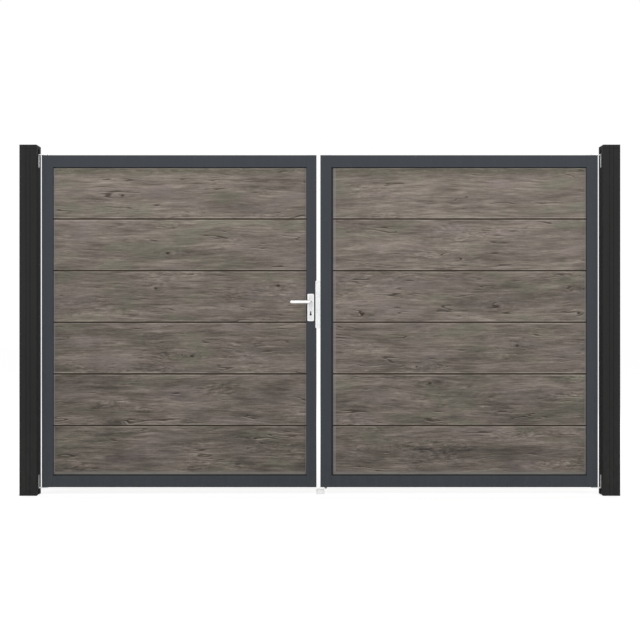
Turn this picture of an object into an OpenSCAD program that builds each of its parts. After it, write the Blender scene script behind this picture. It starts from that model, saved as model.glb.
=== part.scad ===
// Double fence gate: two framed board leaves hung between two slotted posts.
// Origin on the ground, midway between the posts. X runs along the gate, +Y away from the
// lever's front side, the way both leaves open, and Z up. Millimetres.

/* [Posts] */
// Width and depth of a square post
post_w = 93; // [80:1:120]
// Wall of the post extrusion
post_wall = 2.5; // [2:0.25:4]
// Width of the slot in each post face, which takes a fence board
slot_w = 22; // [18:0.5:26]
// Inside width of the square socket in the middle of a post
socket_w = 42; // [34:0.5:46]
// How far the capped post rises above a leaf
post_rise = 53.5; // [40:0.5:120]
// Visible height of a post cap
cap_h = 20; // [10:1:40]
// Wall of a post cap
cap_wall = 3; // [2:0.5:4]
// How far the cap's plug reaches into the socket
cap_plug = 30; // [15:1:60]
// Corner radius of a post
post_round = 2; // [1:0.5:4]
// Thickness of a cover strip's face
cover_t = 2; // [1.5:0.25:3]
// Depth of a cover strip's two clips
cover_clip = 12; // [8:1:16]

/* [Leaves] */
// Length of board that shows between the two stiles of a leaf
board_view_w = 1368; // [700:1:2400]
// Gap between the ground and a leaf
ground_gap = 42.5; // [40:0.5:120]
// Gap between a post and its leaf
hinge_gap = 21.5; // [20:0.5:40]
// Gap between the two leaves
leaf_gap = 21; // [20:0.5:26]
// Depth of a leaf, front face to back face
leaf_t = 45; // [40:1:60]
// Wall of the frame extrusions
frame_wall = 2; // [1.5:0.25:3]
// Width of the stile that hangs on the post
hinge_stile_w = 60.5; // [54:0.5:90]
// Width of the stile that holds the lock
lock_stile_w = 54; // [54:1:80]
// Width of the passive leaf's meeting stile
meeting_stile_w = 59; // [58:1:80]
// Height of a leaf's top rail
top_rail_h = 65; // [45:1:100]
// Height of a leaf's bottom rail
bottom_rail_h = 62; // [45:1:100]
// Depth of the board channel in a stile
stile_channel = 10; // [8:0.5:12]
// Depth of the board channel in the top rail
top_channel = 11; // [10:0.5:16]
// Depth of the board channel in the bottom rail
bottom_channel = 9; // [6:0.5:14]
// Distance of the groove line from a hinge stile's outer edge
groove_in = 18.5; // [10:0.5:24]
// Width of the groove line
groove_w = 1.2; // [0.8:0.1:2]
// Depth of the groove line
groove_d = 0.8; // [0.4:0.1:1.2]
// Edge radius of the frame extrusions
frame_round = 1.5; // [0.5:0.25:3]
// Thickness of an end plug's cover plate
plug_plate = 3; // [2:0.5:5]
// How far an end plug reaches into its stile
plug_depth = 42; // [38:1:80]
// Length of a corner block in its rail
block_l = 50; // [30:1:90]

/* [Boards] */
// Height of one board, seam to seam
board_h = 279.1; // [150:0.1:320]
// Thickness of a board
board_t = 20; // [16:0.5:24]
// Height of the tongue on a board
tongue_h = 8; // [5:0.5:9]
// Thickness of the tongue
tongue_t = 6; // [4:0.5:8]
// Width of the bevel along a board's long edges, seen from the front
bevel_h = 3; // [1:0.5:5]
// Depth of that bevel
bevel_d = 2.5; // [1:0.5:4]
// How far a board's end reaches into a stile
board_seat = 8; // [5:0.5:8]
// Thickness of a panel gasket
gasket_t = 2.4; // [1.5:0.1:4]
// How far a gasket reaches under the frame
gasket_root = 5; // [3:0.5:7]
// Gasket width that shows at the top and at the outer stiles
gasket_lip = 1; // [0.5:0.5:4]
// Gasket width that shows above the bottom rail
gasket_bottom = 6.5; // [1:0.5:12]
// Gasket width that shows beside the meeting stile
gasket_meeting = 10; // [1:0.5:16]

/* [Hinges] */
// Distance of the pivot from a leaf's outer edge
pivot_in = 20.5; // [16:0.5:22]
// Radius of a pivot pin
pin_r = 7; // [5:0.25:8]
// How far a pivot pin reaches into its leaf
pin_depth = 30; // [20:1:35]
// Outer radius of a pivot bush
bush_r = 10; // [9:0.25:12]
// Radius of a bush's flange
bush_flange_r = 13; // [12.5:0.25:15]
// Thickness of a bush's flange
bush_flange = 2; // [1.5:0.25:4]
// Free play between a bush's flange and its bracket
thrust_gap = 0.3; // [0.3:0.05:1]
// Thickness of a hinge bracket's steel
bracket_t = 5; // [4:0.5:8]
// Height of a hinge bracket on its post
bracket_h = 71; // [60:1:140]
// How far a bracket stands out of the post face
bracket_proud = 1; // [0.5:0.25:4]
// Number of screws that hold a bracket
bracket_screw_count = 4; // [2:1:4]
// Radius of these screws
bracket_screw_r = 1.95; // [1.45:0.05:3]
// Distance of the outer screws from the bracket's ends
bracket_screw_in = 12; // [11:0.5:16]

/* [Lock] */
// Height of the lever's turning axis above the ground
spindle_z = 1042; // [850:1:1150]
// Distance of that axis from the lock stile's edge
backset = 31; // [31:0.1:34]
// Side of the square spindle
spindle_w = 8; // [7:0.5:9]
// Width of a handle plate
plate_w = 35.4; // [32:0.1:42]
// Height of a handle plate
plate_h = 147; // [140:1:180]
// Thickness of a handle plate
plate_t = 7; // [6:0.5:10]
// How far a handle plate rises above the lever's axis
plate_rise = 44; // [42:0.5:60]
// Corner radius of a handle plate
plate_round = 6; // [2:0.5:9]
// Depth of the sunk field in a handle plate
field_d = 1; // [0.5:0.25:2]
// Rim around the sunk field
field_rim = 7; // [5:0.5:9]
// Length of a lever from its axis to its tip
lever_l = 111; // [90:1:140]
// Radius of a lever's grip
lever_r = 9; // [7:0.25:11]
// Radius of a lever's neck
neck_r = 9.9; // [8:0.1:11]
// Distance from a handle plate to the middle of the grip
lever_reach = 42; // [36:1:60]
// Radius of the bend between a lever's neck and its grip
lever_bend = 16; // [12:1:20]
// Radius of the keyhole's round end
key_r = 5.5; // [4:0.1:6]
// Width of the keyhole's slot
key_slot_w = 6; // [4.4:0.1:6]
// Height of the slot above the round end's centre
key_slot_h = 17; // [10:0.5:18]
// Distance of the round end's centre below the lever's axis
key_drop = 67.5; // [66:0.5:72]
// Thickness of the forend
forend_t = 3; // [2:0.25:3.5]
// Width of the forend
forend_w = 22; // [20:0.5:24]
// Height of the lock case
case_h = 166; // [160:1:200]
// How far the forend runs on below the lock case
forend_below = 21; // [18:1:40]
// How far the forend runs on above the lock case
forend_above = 49; // [18:1:70]
// Thickness of the lock case
case_t = 16; // [15.8:0.1:20]
// Wall of the lock case
case_wall = 1.5; // [1:0.25:2]
// Thickness of the latch bolt and the dead bolt
bolt_t = 12; // [11.5:0.1:12.2]
// Height of the latch bolt's head
latch_h = 18; // [14:0.5:19]
// Travel of the latch bolt
latch_throw = 11; // [9:0.5:11]
// Height of the dead bolt
dead_h = 24; // [18:0.5:26]
// Height of the dead bolt's middle above the keyhole's round end
dead_rise = 28; // [27:0.5:31]

/* [Keeper] */
// How far the strike keeper runs past the forend at each end
keeper_past = 11; // [5:1:30]
// Wall of the strike keeper, and thickness of its stop plate
keeper_wall = 3; // [2:0.25:3.5]
// Gap between the forend and the keeper
keeper_gap = 2; // [1.5:0.25:3]
// How far the stop plate covers the active leaf
stop_lap = 5.4; // [4:0.1:10]
// Gap between the stop plate and the active leaf's front
stop_gap = 0.5; // [0.4:0.1:2]
// Distance of the keeper's back edge behind the leaf's middle
keeper_back = 20; // [16:0.5:22]
// Corner cut of the stop plate
stop_cut = 5; // [2:0.5:7]

/* [Drop bolt and floor stop] */
// Radius of the drop bolt
rod_r = 7; // [5:0.25:8]
// Gap between the meeting stile and the drop bolt
rod_gap = 6; // [5:0.5:12]
// Height of the raised drop bolt's tip above the ground
rod_tip_z = 27; // [5:1:32]
// Height of the drop bolt's top above the leaf's bottom edge
rod_rise = 503.5; // [490:0.5:900]
// Travel of the drop bolt
rod_throw = 60; // [30:1:70]
// Height of a guide's block
guide_h = 24; // [18:1:36]
// Height of the lower guide above the leaf's bottom edge
guide_low = 36; // [34:1:50]
// Distance between the two guides
guide_pitch = 340; // [250:1:350]
// Width of the floor stop at the ground
stop_w = 49; // [40:1:80]
// Height of the floor stop
stop_h = 27.5; // [20:0.5:36]
// Depth of the floor stop
stop_deep = 28; // [22:1:60]
// Radius of the floor stop's anchor hole
anchor_r = 5.5; // [4:0.25:6.5]

/* [Hidden] */
$fn = 64;
// Clearance of a pressed or pushed-in piece, a side
fit = 0.2;
// Radial clearance of a shaft that turns or slides in a bore
run_fit = 0.06;
// Radial clearance of a pin or screw in its own hole
snug = 0.03;
// Clearance of a bolt in its window, a side
window_fit = 0.3;
// Overlap that joins shapes into one solid, and the excess of a cutting shape
eps = 0.5;

// Six boards are stacked in each leaf
board_count = 6;
left_leaf_w = hinge_stile_w + board_view_w + lock_stile_w;
right_leaf_w = meeting_stile_w + gasket_meeting + board_view_w + hinge_stile_w;
pair_half = (left_leaf_w + leaf_gap + right_leaf_w) / 2;
opening_half = pair_half + hinge_gap;
post_x = opening_half + post_w / 2;
lock_edge_x = left_leaf_w - pair_half;
meeting_edge_x = pair_half - right_leaf_w;
pivot_x = pair_half - pivot_in;

leaf_z0 = ground_gap;
board_z0 = leaf_z0 + bottom_rail_h - bottom_channel;
board_z1 = board_z0 + board_count * board_h;
// The top rail's lower edge covers this much of the top board
top_lap = 0.6;
leaf_z1 = board_z1 - top_lap + top_rail_h;
post_top = leaf_z1 + post_rise;
post_h = post_top - cap_h;

slot_d = post_w / 2 - socket_w / 2 - post_wall;
channel_w = board_t + 2 * gasket_t + 2 * fit;
face_y = leaf_t / 2;

bracket_w = slot_w - 2 * window_fit;
bracket_x = opening_half - bracket_proud;
slot_floor_x = opening_half + slot_d;
bracket_out = bush_flange + thrust_gap + bracket_t;
top_bracket_z = leaf_z1 + bracket_out;
bottom_bracket_z = leaf_z0 - bracket_out;
screw_pitch = (bracket_h - 2 * bracket_screw_in) / (bracket_screw_count - 1);

spindle_x = lock_edge_x - backset;
plate_z0 = spindle_z + plate_rise - plate_h;
// The plate screws sit this far inside the plate's ends
plate_screw_in = 9;
plate_screw_r = 2.5;
plate_screw_head = 4.5;
plate_screws_z = [plate_z0 + plate_screw_in, plate_z0 + plate_h - plate_screw_in];
lever_y = face_y + plate_t + lever_reach;
// Depth of the spindle's end in a lever
spindle_end = face_y + plate_t + lever_reach - lever_bend;
key_z = spindle_z - key_drop;

case_gap = fit;
hollow_l = lock_stile_w - stile_channel - 2 * frame_wall;
case_w = hollow_l + frame_wall - case_gap;
// The case's bottom sits this far below the lever's axis
case_drop = 110;
case_z0 = spindle_z - case_drop;
forend_z0 = case_z0 - forend_below;
forend_h = case_h + forend_below + forend_above;
forend_x = lock_edge_x + forend_t;
case_in_y = case_t / 2 - case_wall;
case_back_x = lock_edge_x - case_w + case_wall;
hub_r = 8;
journal_r = 7;
arm_l = 16;
arm_w = 5;
arm_tilt = 35;
arm_y = 1.2;
lever_travel = 40;
latch_z = spindle_z + 21.5;
latch_tip_x = forend_x + latch_throw;
latch_body = 26;
tail_y = 1.5;
tail_t = 4;
tail_h = 8;
hook_t = 3;
hook_drop = 3.5;
hook_x = spindle_x + 6.1;
dead_z = key_z + dead_rise;
dead_l = 28;
forend_screw_r = 2.5;
forend_screw_in = 10;
forend_screw_l = 16;

spring_r = 2.6;
spring_wire = 0.35;
spring_y = -2.6;
spring_turns = 7;

keeper_x0 = forend_x + keeper_gap;
keeper_z0 = forend_z0 - keeper_past;
keeper_h = forend_h + 2 * keeper_past;
keeper_front = face_y + stop_gap;
pocket_fit = 1;
keeper_screw_r = 2.5;
keeper_screw_head = 4.5;
keeper_screw_l = 14;
keeper_screw_in = 20;

rod_x = meeting_edge_x + meeting_stile_w / 2;
rod_y = face_y + rod_gap + rod_r;
rod_top = leaf_z0 + rod_rise;
rod_l = rod_top - rod_tip_z;
guide_z = [leaf_z0 + guide_low, leaf_z0 + guide_low + guide_pitch];
guide_wall = 3.5;
ear_t = 3;
ear_w = 40;
ear_screw = 15;
ear_screw_r = 2.2;
ear_screw_head = 4;
ear_screw_l = 10;
collar_r = rod_r + 4;
collar_h = 8;
collar_z = guide_z[0] + guide_h + rod_throw + window_fit;
grip_z = rod_top - 12;
grip_stem_r = 4;
grip_arm_r = 5.5;
grip_ball_r = 12;
grip_y = rod_y + 30;

stop_back = rod_y - rod_r - eps;
stop_x0 = meeting_edge_x - 23;
stop_lean = 2.5;
stop_slant = 7.5;
anchor_x = (lock_edge_x + meeting_edge_x) / 2;
anchor_head_r = 9;
anchor_head_d = 8;

post_colour = [0.19, 0.19, 0.195];
frame_colour = [0.27, 0.28, 0.30];
board_colour = [0.45, 0.42, 0.39];
steel_colour = [0.78, 0.79, 0.80];
rubber_colour = [0.08, 0.08, 0.08];

// Keeps a shape on the right side, or mirrors it to the left side
module on_side(side) {
    if (side < 0) mirror([1, 0, 0]) children();
    else children();
}

// Flat rectangle with round corners
module round_rect(w, h, r) {
    square([w - 2 * r, h], center = true);
    square([w, h - 2 * r], center = true);
    for (x = [-1, 1], y = [-1, 1])
        translate([x * (w / 2 - r), y * (h / 2 - r)]) circle(r);
}

// Turns a flat outline in X and Z into a slab from y0 to y1
module slab_y(y0, y1) {
    translate([0, y1, 0]) rotate([90, 0, 0]) linear_extrude(y1 - y0) children();
}

// Turns an outline in Y and Z into a bar along X
module bar_x(x0, x1) {
    translate([x0, 0, 0]) rotate([90, 0, 90]) linear_extrude(x1 - x0) children();
}

// Round bar along X from x0 to x1
module rod_along_x(x0, x1, r) {
    translate([x0, 0, 0]) rotate([0, 90, 0]) cylinder(r = r, h = x1 - x0);
}

// Round bar along Y from y0 to y1
module rod_along_y(y0, y1, r) {
    translate([0, y1, 0]) rotate([90, 0, 0]) cylinder(r = r, h = y1 - y0);
}

// Posts

module post_profile() {
    inner = socket_w / 2 + post_wall;
    chamber0 = slot_w / 2 + post_wall;
    chamber1 = post_w / 2 - post_wall;
    difference() {
        round_rect(post_w, post_w, post_round);
        square(socket_w, center = true);
        for (turn = [0 : 90 : 270]) rotate(turn) {
            translate([inner, -slot_w / 2]) square([slot_d + eps, slot_w]);
            polygon([[inner, chamber0], [chamber1, chamber0], [chamber1, chamber1],
                [chamber0, chamber1], [chamber0, inner], [inner, inner]]);
        }
    }
}

// Heights of the screws of both brackets on one post
function bracket_screw_heights() = [for (low = [bottom_bracket_z, top_bracket_z - bracket_h],
    n = [0 : bracket_screw_count - 1]) low + bracket_screw_in + n * screw_pitch];

module post(side) {
    color(post_colour) on_side(side) difference() {
        translate([post_x, 0, 0]) linear_extrude(post_h) post_profile();
        for (z = bracket_screw_heights())
            translate([0, 0, z])
                rod_along_x(slot_floor_x - eps, slot_floor_x + post_wall + eps,
                    bracket_screw_r + snug);
    }
}

module post_cap(side) {
    plug_w = socket_w - 2 * fit;
    chamfer = cap_wall / 2;
    half = post_w / 2;
    outline = [[-half, 0], [half, 0], [half, cap_h - chamfer], [half - chamfer, cap_h],
        [chamfer - half, cap_h], [-half, cap_h - chamfer]];
    color(post_colour) on_side(side) translate([post_x, 0, post_h]) {
        difference() {
            intersection() {
                linear_extrude(cap_h) round_rect(post_w, post_w, post_round);
                slab_y(-half, half) polygon(outline);
                bar_x(-half, half) polygon(outline);
            }
            translate([0, 0, -eps])
                linear_extrude(cap_h - cap_wall + eps)
                    square(post_w - 2 * cap_wall, center = true);
        }
        translate([0, 0, -cap_plug])
            linear_extrude(cap_plug + cap_h - cap_wall / 2) difference() {
                square(plug_w, center = true);
                square(plug_w - 2 * cap_wall, center = true);
            }
    }
}

// One clip-in strip, its face at x = 0 and its clips towards +X
module cover_profile() {
    w = slot_w - 2 * fit;
    difference() {
        translate([0, -w / 2]) square([cover_clip, w]);
        translate([cover_t, -w / 2 + cover_t])
            square([cover_clip, w - 2 * cover_t]);
    }
}

module post_covers(side) {
    z0 = bottom_bracket_z + bracket_h + eps;
    z1 = top_bracket_z - bracket_h - eps;
    color(post_colour) on_side(side) {
        for (turn = [90, -90])
            translate([post_x, 0, 0]) rotate(turn)
                translate([-post_w / 2, 0, 0]) linear_extrude(post_h) cover_profile();
        translate([opening_half, 0, z0]) linear_extrude(z1 - z0) cover_profile();
    }
}

// Hinges

// Hinge bracket with its outer surface at height z, its leg running to the other way
module bracket(side, z, up) {
    leg_z = up > 0 ? z : z - bracket_h;
    arm_z = up > 0 ? z : z - bracket_t;
    color(steel_colour) on_side(side) difference() {
        union() {
            translate([bracket_x, -bracket_w / 2, leg_z])
                cube([slot_floor_x - bracket_x, bracket_w, bracket_h]);
            translate([pivot_x, -bracket_w / 2, arm_z])
                cube([bracket_x - pivot_x + eps, bracket_w, bracket_t]);
            translate([pivot_x, 0, arm_z]) cylinder(r = bracket_w / 2, h = bracket_t);
        }
        translate([pivot_x, 0, arm_z - eps])
            cylinder(r = pin_r + snug, h = bracket_t + 2 * eps);
        for (sz = bracket_screw_heights()) translate([0, 0, sz]) {
            rod_along_x(bracket_x - eps, slot_floor_x + eps, bracket_screw_r + snug);
            translate([bracket_x, 0, 0]) rotate([0, 90, 0])
                cylinder(r1 = 2 * bracket_screw_r + snug, r2 = bracket_screw_r + snug,
                    h = bracket_screw_r);
        }
    }
}

module bracket_screws() {
    color(steel_colour) for (side = [-1, 1], z = bracket_screw_heights())
        on_side(side) translate([0, 0, z]) difference() {
            union() {
                rod_along_x(bracket_x, slot_floor_x + post_wall, bracket_screw_r);
                translate([bracket_x, 0, 0]) rotate([0, 90, 0])
                    cylinder(r1 = 2 * bracket_screw_r, r2 = bracket_screw_r,
                        h = bracket_screw_r);
            }
            rotate([0, 90, 0]) translate([0, 0, bracket_x - eps])
                cylinder(r = bracket_screw_r * 2 / 3, h = bracket_screw_r + eps, $fn = 6);
        }
}

// One pivot pin, from its bracket's outer surface at height z into the leaf
module pivot_pin(z, up) {
    length = bracket_out + pin_depth;
    tip = 2;
    translate([pivot_x, 0, z]) mirror([0, 0, up > 0 ? 0 : 1]) {
        cylinder(r = pin_r, h = length - tip);
        translate([0, 0, length - tip]) cylinder(r1 = pin_r, r2 = pin_r - tip, h = tip);
    }
}

module pivot_pins() {
    color(steel_colour) for (side = [-1, 1]) on_side(side) {
        pivot_pin(bottom_bracket_z, 1);
        pivot_pin(top_bracket_z, -1);
    }
}

// Bush in the end of a leaf, its flange outside the leaf's end at height z
module pivot_bush(z, up) {
    translate([pivot_x, 0, z]) mirror([0, 0, up > 0 ? 0 : 1]) difference() {
        union() {
            cylinder(r = bush_r, h = plug_depth - plug_plate);
            translate([0, 0, -bush_flange]) cylinder(r = bush_flange_r, h = bush_flange);
        }
        translate([0, 0, -bush_flange - eps])
            cylinder(r = pin_r + run_fit, h = bush_flange + plug_depth + 2 * eps);
    }
}

module pivot_bushes(side) {
    color([0.16, 0.16, 0.16]) on_side(side) {
        pivot_bush(leaf_z0, 1);
        pivot_bush(leaf_z1, -1);
    }
}

// Leaf frame

// Frame extrusion: outer edge at x = 0, board channel at x = w
module frame_profile(w, channel_d) {
    hollow = w - channel_d - 2 * frame_wall;
    side_t = (leaf_t - channel_w) / 2 - 2 * frame_wall;
    difference() {
        translate([w / 2, 0]) round_rect(w, leaf_t, frame_round);
        translate([frame_wall, -face_y + frame_wall])
            square([hollow, leaf_t - 2 * frame_wall]);
        translate([w - channel_d, -channel_w / 2]) square([channel_d + eps, channel_w]);
        for (y = [-face_y + frame_wall, face_y - frame_wall - side_t])
            translate([w - channel_d, y]) square([channel_d - frame_wall, side_t]);
    }
}

// Full-height stile with its outer edge at x = 0
module stile(w) {
    translate([0, 0, leaf_z0 + plug_plate])
        linear_extrude(leaf_z1 - leaf_z0 - 2 * plug_plate) frame_profile(w, stile_channel);
}

module hinge_stile(side) {
    color(frame_colour) on_side(side) translate([pair_half, 0, 0]) mirror([1, 0, 0])
        difference() {
            stile(hinge_stile_w);
            for (y = [-face_y - eps, face_y - groove_d])
                translate([groove_in, y, leaf_z0])
                    cube([groove_w, groove_d + eps, leaf_z1 - leaf_z0]);
        }
}

// Slot shape of the keyhole, grown by a margin
module keyhole(margin) {
    translate([0, key_z]) circle(key_r + margin);
    translate([-key_slot_w / 2 - margin, key_z])
        square([key_slot_w + 2 * margin, key_slot_h + margin]);
}

module lock_stile() {
    hole_r = neck_r + 2;
    color(frame_colour) difference() {
        translate([lock_edge_x, 0, 0]) mirror([1, 0, 0]) stile(lock_stile_w);
        translate([lock_edge_x - frame_wall - eps, -case_t / 2 - fit, case_z0 - fit])
            cube([frame_wall + 2 * eps, case_t + 2 * fit, case_h + 2 * fit]);
        translate([spindle_x, 0, spindle_z]) rod_along_y(-face_y - eps, face_y + eps, hole_r);
        translate([spindle_x, 0, 0]) slab_y(-face_y - eps, 0) keyhole(2);
        for (z = plate_screws_z) translate([spindle_x, 0, z])
            rod_along_y(-face_y - eps, face_y + eps, plate_screw_r + 1);
        for (z = [forend_z0 + forend_screw_in, forend_z0 + forend_h - forend_screw_in])
            translate([0, 0, z])
                rod_along_x(lock_edge_x - frame_wall - eps, lock_edge_x + eps,
                    forend_screw_r + snug);
    }
}

module meeting_stile() {
    color(frame_colour) difference() {
        translate([meeting_edge_x, 0, 0]) stile(meeting_stile_w);
        for (z = keeper_screw_heights()) translate([0, 0, z])
            rod_along_x(meeting_edge_x - eps, meeting_edge_x + frame_wall + eps,
                keeper_screw_r + snug);
        for (z = guide_z, x = [-ear_screw, ear_screw])
            translate([rod_x + x, 0, z + guide_h / 2])
                rod_along_y(face_y - frame_wall - eps, face_y + eps, ear_screw_r + snug);
    }
}

// Ends of the rails: the inner edges of the stiles
left_x0 = -pair_half + hinge_stile_w;
left_x1 = lock_edge_x - lock_stile_w;
right_x0 = meeting_edge_x + meeting_stile_w;
right_x1 = pair_half - hinge_stile_w;

module top_rail(x0, x1) {
    color(frame_colour) translate([x0, 0, leaf_z1]) rotate([0, 90, 0])
        linear_extrude(x1 - x0) frame_profile(top_rail_h, top_channel);
}

module bottom_rail(x0, x1) {
    color(frame_colour) translate([x0, 0, leaf_z0]) mirror([0, 0, 1]) rotate([0, 90, 0])
        linear_extrude(x1 - x0) frame_profile(bottom_rail_h, bottom_channel);
}

// Block in the end of a rail, with a tongue that meets the stile's web clear of the end plugs
module corner_block(x, inward, z, h) {
    t = leaf_t - 2 * frame_wall - 2 * fit;
    tongue = channel_w - 2 * fit;
    inset = max(plug_plate - frame_wall, 0);
    translate([x, 0, z]) mirror([inward > 0 ? 0 : 1, 0, 0]) {
        translate([0, -t / 2, 0]) cube([block_l, t, h]);
        translate([-stile_channel, -tongue / 2, inset])
            cube([stile_channel + eps, tongue, h - 2 * inset]);
    }
}

module corner_blocks(x0, x1) {
    low_h = bottom_rail_h - bottom_channel - 2 * frame_wall - 2 * fit;
    top_h = top_rail_h - top_channel - 2 * frame_wall - 2 * fit;
    low_z = leaf_z0 + frame_wall + fit;
    top_z = leaf_z1 - frame_wall - fit - top_h;
    color([0.6, 0.6, 0.62]) for (end = [[x0, 1], [x1, -1]]) {
        corner_block(end[0], end[1], low_z, low_h);
        corner_block(end[0], end[1], top_z, top_h);
    }
}

// Plug with a cover plate for a stile's end, its outer edge at x = 0
module end_plug(w, z, up, bore) {
    hollow = w - stile_channel - 2 * frame_wall;
    t = leaf_t - 2 * frame_wall - 2 * fit;
    translate([0, 0, z]) mirror([0, 0, up > 0 ? 0 : 1]) difference() {
        union() {
            linear_extrude(plug_plate)
                translate([w / 2, 0]) round_rect(w, leaf_t, frame_round);
            translate([frame_wall + fit, -t / 2, plug_plate - eps])
                cube([hollow - 2 * fit, t, plug_depth - plug_plate + eps]);
        }
        if (bore)
            translate([pivot_in, 0, -eps]) cylinder(r = bush_r + snug, h = plug_depth + 2 * eps);
    }
}

module end_plugs(side, inner_edge, inner_w) {
    color(frame_colour) on_side(side) for (end = [[leaf_z0, 1], [leaf_z1, -1]]) {
        translate([pair_half, 0, 0]) mirror([1, 0, 0])
            end_plug(hinge_stile_w, end[0], end[1], true);
        translate([inner_edge, 0, 0]) end_plug(inner_w, end[0], end[1], false);
    }
}

// Boards

// Section of one tongued and grooved board, from its lower edge
module board_profile() {
    half = board_t / 2;
    tongue = tongue_t / 2;
    groove = tongue + fit;
    deep = tongue_h + 1;
    polygon([[bevel_d - half, 0], [-groove, 0], [-groove, deep], [groove, deep], [groove, 0],
        [half - bevel_d, 0], [half, bevel_h], [half, board_h - bevel_h],
        [half - bevel_d, board_h], [tongue, board_h], [tongue, board_h + tongue_h],
        [-tongue, board_h + tongue_h], [-tongue, board_h], [bevel_d - half, board_h],
        [-half, board_h - bevel_h], [-half, bevel_h]]);
}

// Board number n of a leaf, counted from the bottom
module board(x0, x1, n) {
    color(board_colour) translate([0, 0, board_z0 + (n - 1) * board_h])
        bar_x(x0 - board_seat, x1 + board_seat) board_profile();
}

// Front and back gasket of a leaf's panel, each a frame around the boards
module gaskets(x0, x1, left_lip, right_lip) {
    low = leaf_z0 + bottom_rail_h;
    high = leaf_z1 - top_rail_h;
    near = board_t / 2 + fit / 2;
    color(rubber_colour) for (y = [-near - gasket_t, near]) difference() {
        translate([x0 - gasket_root, y, low - gasket_root])
            cube([x1 - x0 + 2 * gasket_root, gasket_t, high - low + 2 * gasket_root]);
        translate([x0 + left_lip, y - eps, low + gasket_bottom])
            cube([x1 - x0 - left_lip - right_lip, gasket_t + 2 * eps,
                high - low - gasket_bottom - gasket_lip]);
    }
}

// Lock and handles

// Rectangle in Y and Z around a bolt, grown by a margin
module bolt_section(z, h, margin) {
    translate([-bolt_t / 2 - margin, z - h / 2 - margin])
        square([bolt_t + 2 * margin, h + 2 * margin]);
}

// Case that is open towards the cover and towards the forend, which closes its front
module lock_case() {
    color(steel_colour) difference() {
        translate([lock_edge_x - case_w, -case_t / 2, case_z0])
            cube([case_w, case_t - case_wall, case_h]);
        translate([lock_edge_x - case_w + case_wall, -case_in_y, case_z0 + case_wall])
            cube([case_w, case_t, case_h - 2 * case_wall]);
        case_holes();
    }
}

// Holes through both sides of the lock case
module case_holes() {
    translate([spindle_x, 0, spindle_z]) rod_along_y(-case_t, case_t, journal_r + run_fit);
    translate([spindle_x, 0, 0]) slab_y(-case_t, case_t) keyhole(fit);
    for (z = plate_screws_z)
        translate([spindle_x, 0, z]) rod_along_y(-case_t, case_t, plate_screw_r + window_fit);
}

module lock_cover() {
    color(steel_colour) difference() {
        translate([lock_edge_x - case_w, case_in_y, case_z0]) cube([case_w, case_wall, case_h]);
        case_holes();
    }
}

module lock_forend() {
    color(steel_colour) difference() {
        translate([lock_edge_x, -forend_w / 2, forend_z0]) cube([forend_t, forend_w, forend_h]);
        bar_x(lock_edge_x - eps, forend_x + eps) {
            bolt_section(latch_z, latch_h, window_fit);
            bolt_section(dead_z, dead_h, window_fit);
        }
        for (z = [forend_z0 + forend_screw_in, forend_z0 + forend_h - forend_screw_in])
            translate([0, 0, z]) {
                rod_along_x(lock_edge_x - eps, forend_x + eps, forend_screw_r + snug);
                translate([forend_x, 0, 0]) rotate([0, -90, 0])
                    cylinder(r1 = 2 * forend_screw_r + snug, r2 = forend_screw_r + snug,
                        h = forend_screw_r);
            }
    }
}

// Handle plate on the front of the leaf, with the keyhole; the back plate is mirrored from the
// one with holes for the screws' heads instead
module handle_plate(back) {
    mid_z = plate_z0 + plate_h / 2;
    color(steel_colour) difference() {
        translate([spindle_x, 0, mid_z])
            slab_y(-face_y - plate_t, -face_y) round_rect(plate_w, plate_h, plate_round);
        translate([spindle_x, 0, mid_z])
            slab_y(-face_y - plate_t - eps, -face_y - plate_t + field_d)
                round_rect(plate_w - 2 * field_rim, plate_h - 2 * field_rim,
                    plate_round - field_rim / 2 > 1 ? plate_round - field_rim / 2 : 1);
        translate([spindle_x, 0, spindle_z])
            rod_along_y(-face_y - plate_t - eps, -face_y + eps, neck_r + run_fit);
        if (!back)
            translate([spindle_x, 0, 0])
                slab_y(-face_y - plate_t - eps, -face_y + eps) keyhole(0);
        for (z = plate_screws_z) translate([spindle_x, 0, z]) {
            if (back) {
                rod_along_y(-face_y - plate_t - eps, -face_y + eps, plate_screw_r + snug);
                rod_along_y(-face_y - plate_t - eps, -face_y - plate_t / 2,
                    plate_screw_head + snug);
            } else {
                rod_along_y(-face_y - plate_t / 2, -face_y + eps, plate_screw_r + snug);
            }
        }
    }
}

module back_plate() {
    mirror([0, 1, 0]) handle_plate(true);
}

// Screws from the back plate into the front plate, and the forend's two screws
module lock_screws() {
    head_top = face_y + plate_t - field_d - plate_screw_r / 4;
    head_low = face_y + plate_t / 2;
    color(steel_colour) {
        for (z = plate_screws_z) translate([spindle_x, 0, z]) difference() {
            union() {
                rod_along_y(-face_y - plate_t / 2 + snug, head_top, plate_screw_r);
                rod_along_y(head_low, head_top, plate_screw_head);
            }
            translate([0, head_top + eps, 0]) rotate([90, 0, 0])
                cylinder(r = plate_screw_r * 4 / 5, h = plate_screw_r * 2 / 3 + eps, $fn = 6);
        }
        for (z = [forend_z0 + forend_screw_in, forend_z0 + forend_h - forend_screw_in])
            translate([0, 0, z]) difference() {
                union() {
                    rod_along_x(forend_x - forend_screw_l, forend_x, forend_screw_r);
                    translate([forend_x, 0, 0]) rotate([0, -90, 0])
                        cylinder(r1 = 2 * forend_screw_r, r2 = forend_screw_r,
                            h = forend_screw_r);
                }
                translate([forend_x + eps, 0, 0]) rotate([0, -90, 0])
                    cylinder(r = forend_screw_r * 2 / 3, h = forend_screw_r / 2 + eps, $fn = 6);
            }
    }
}

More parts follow.
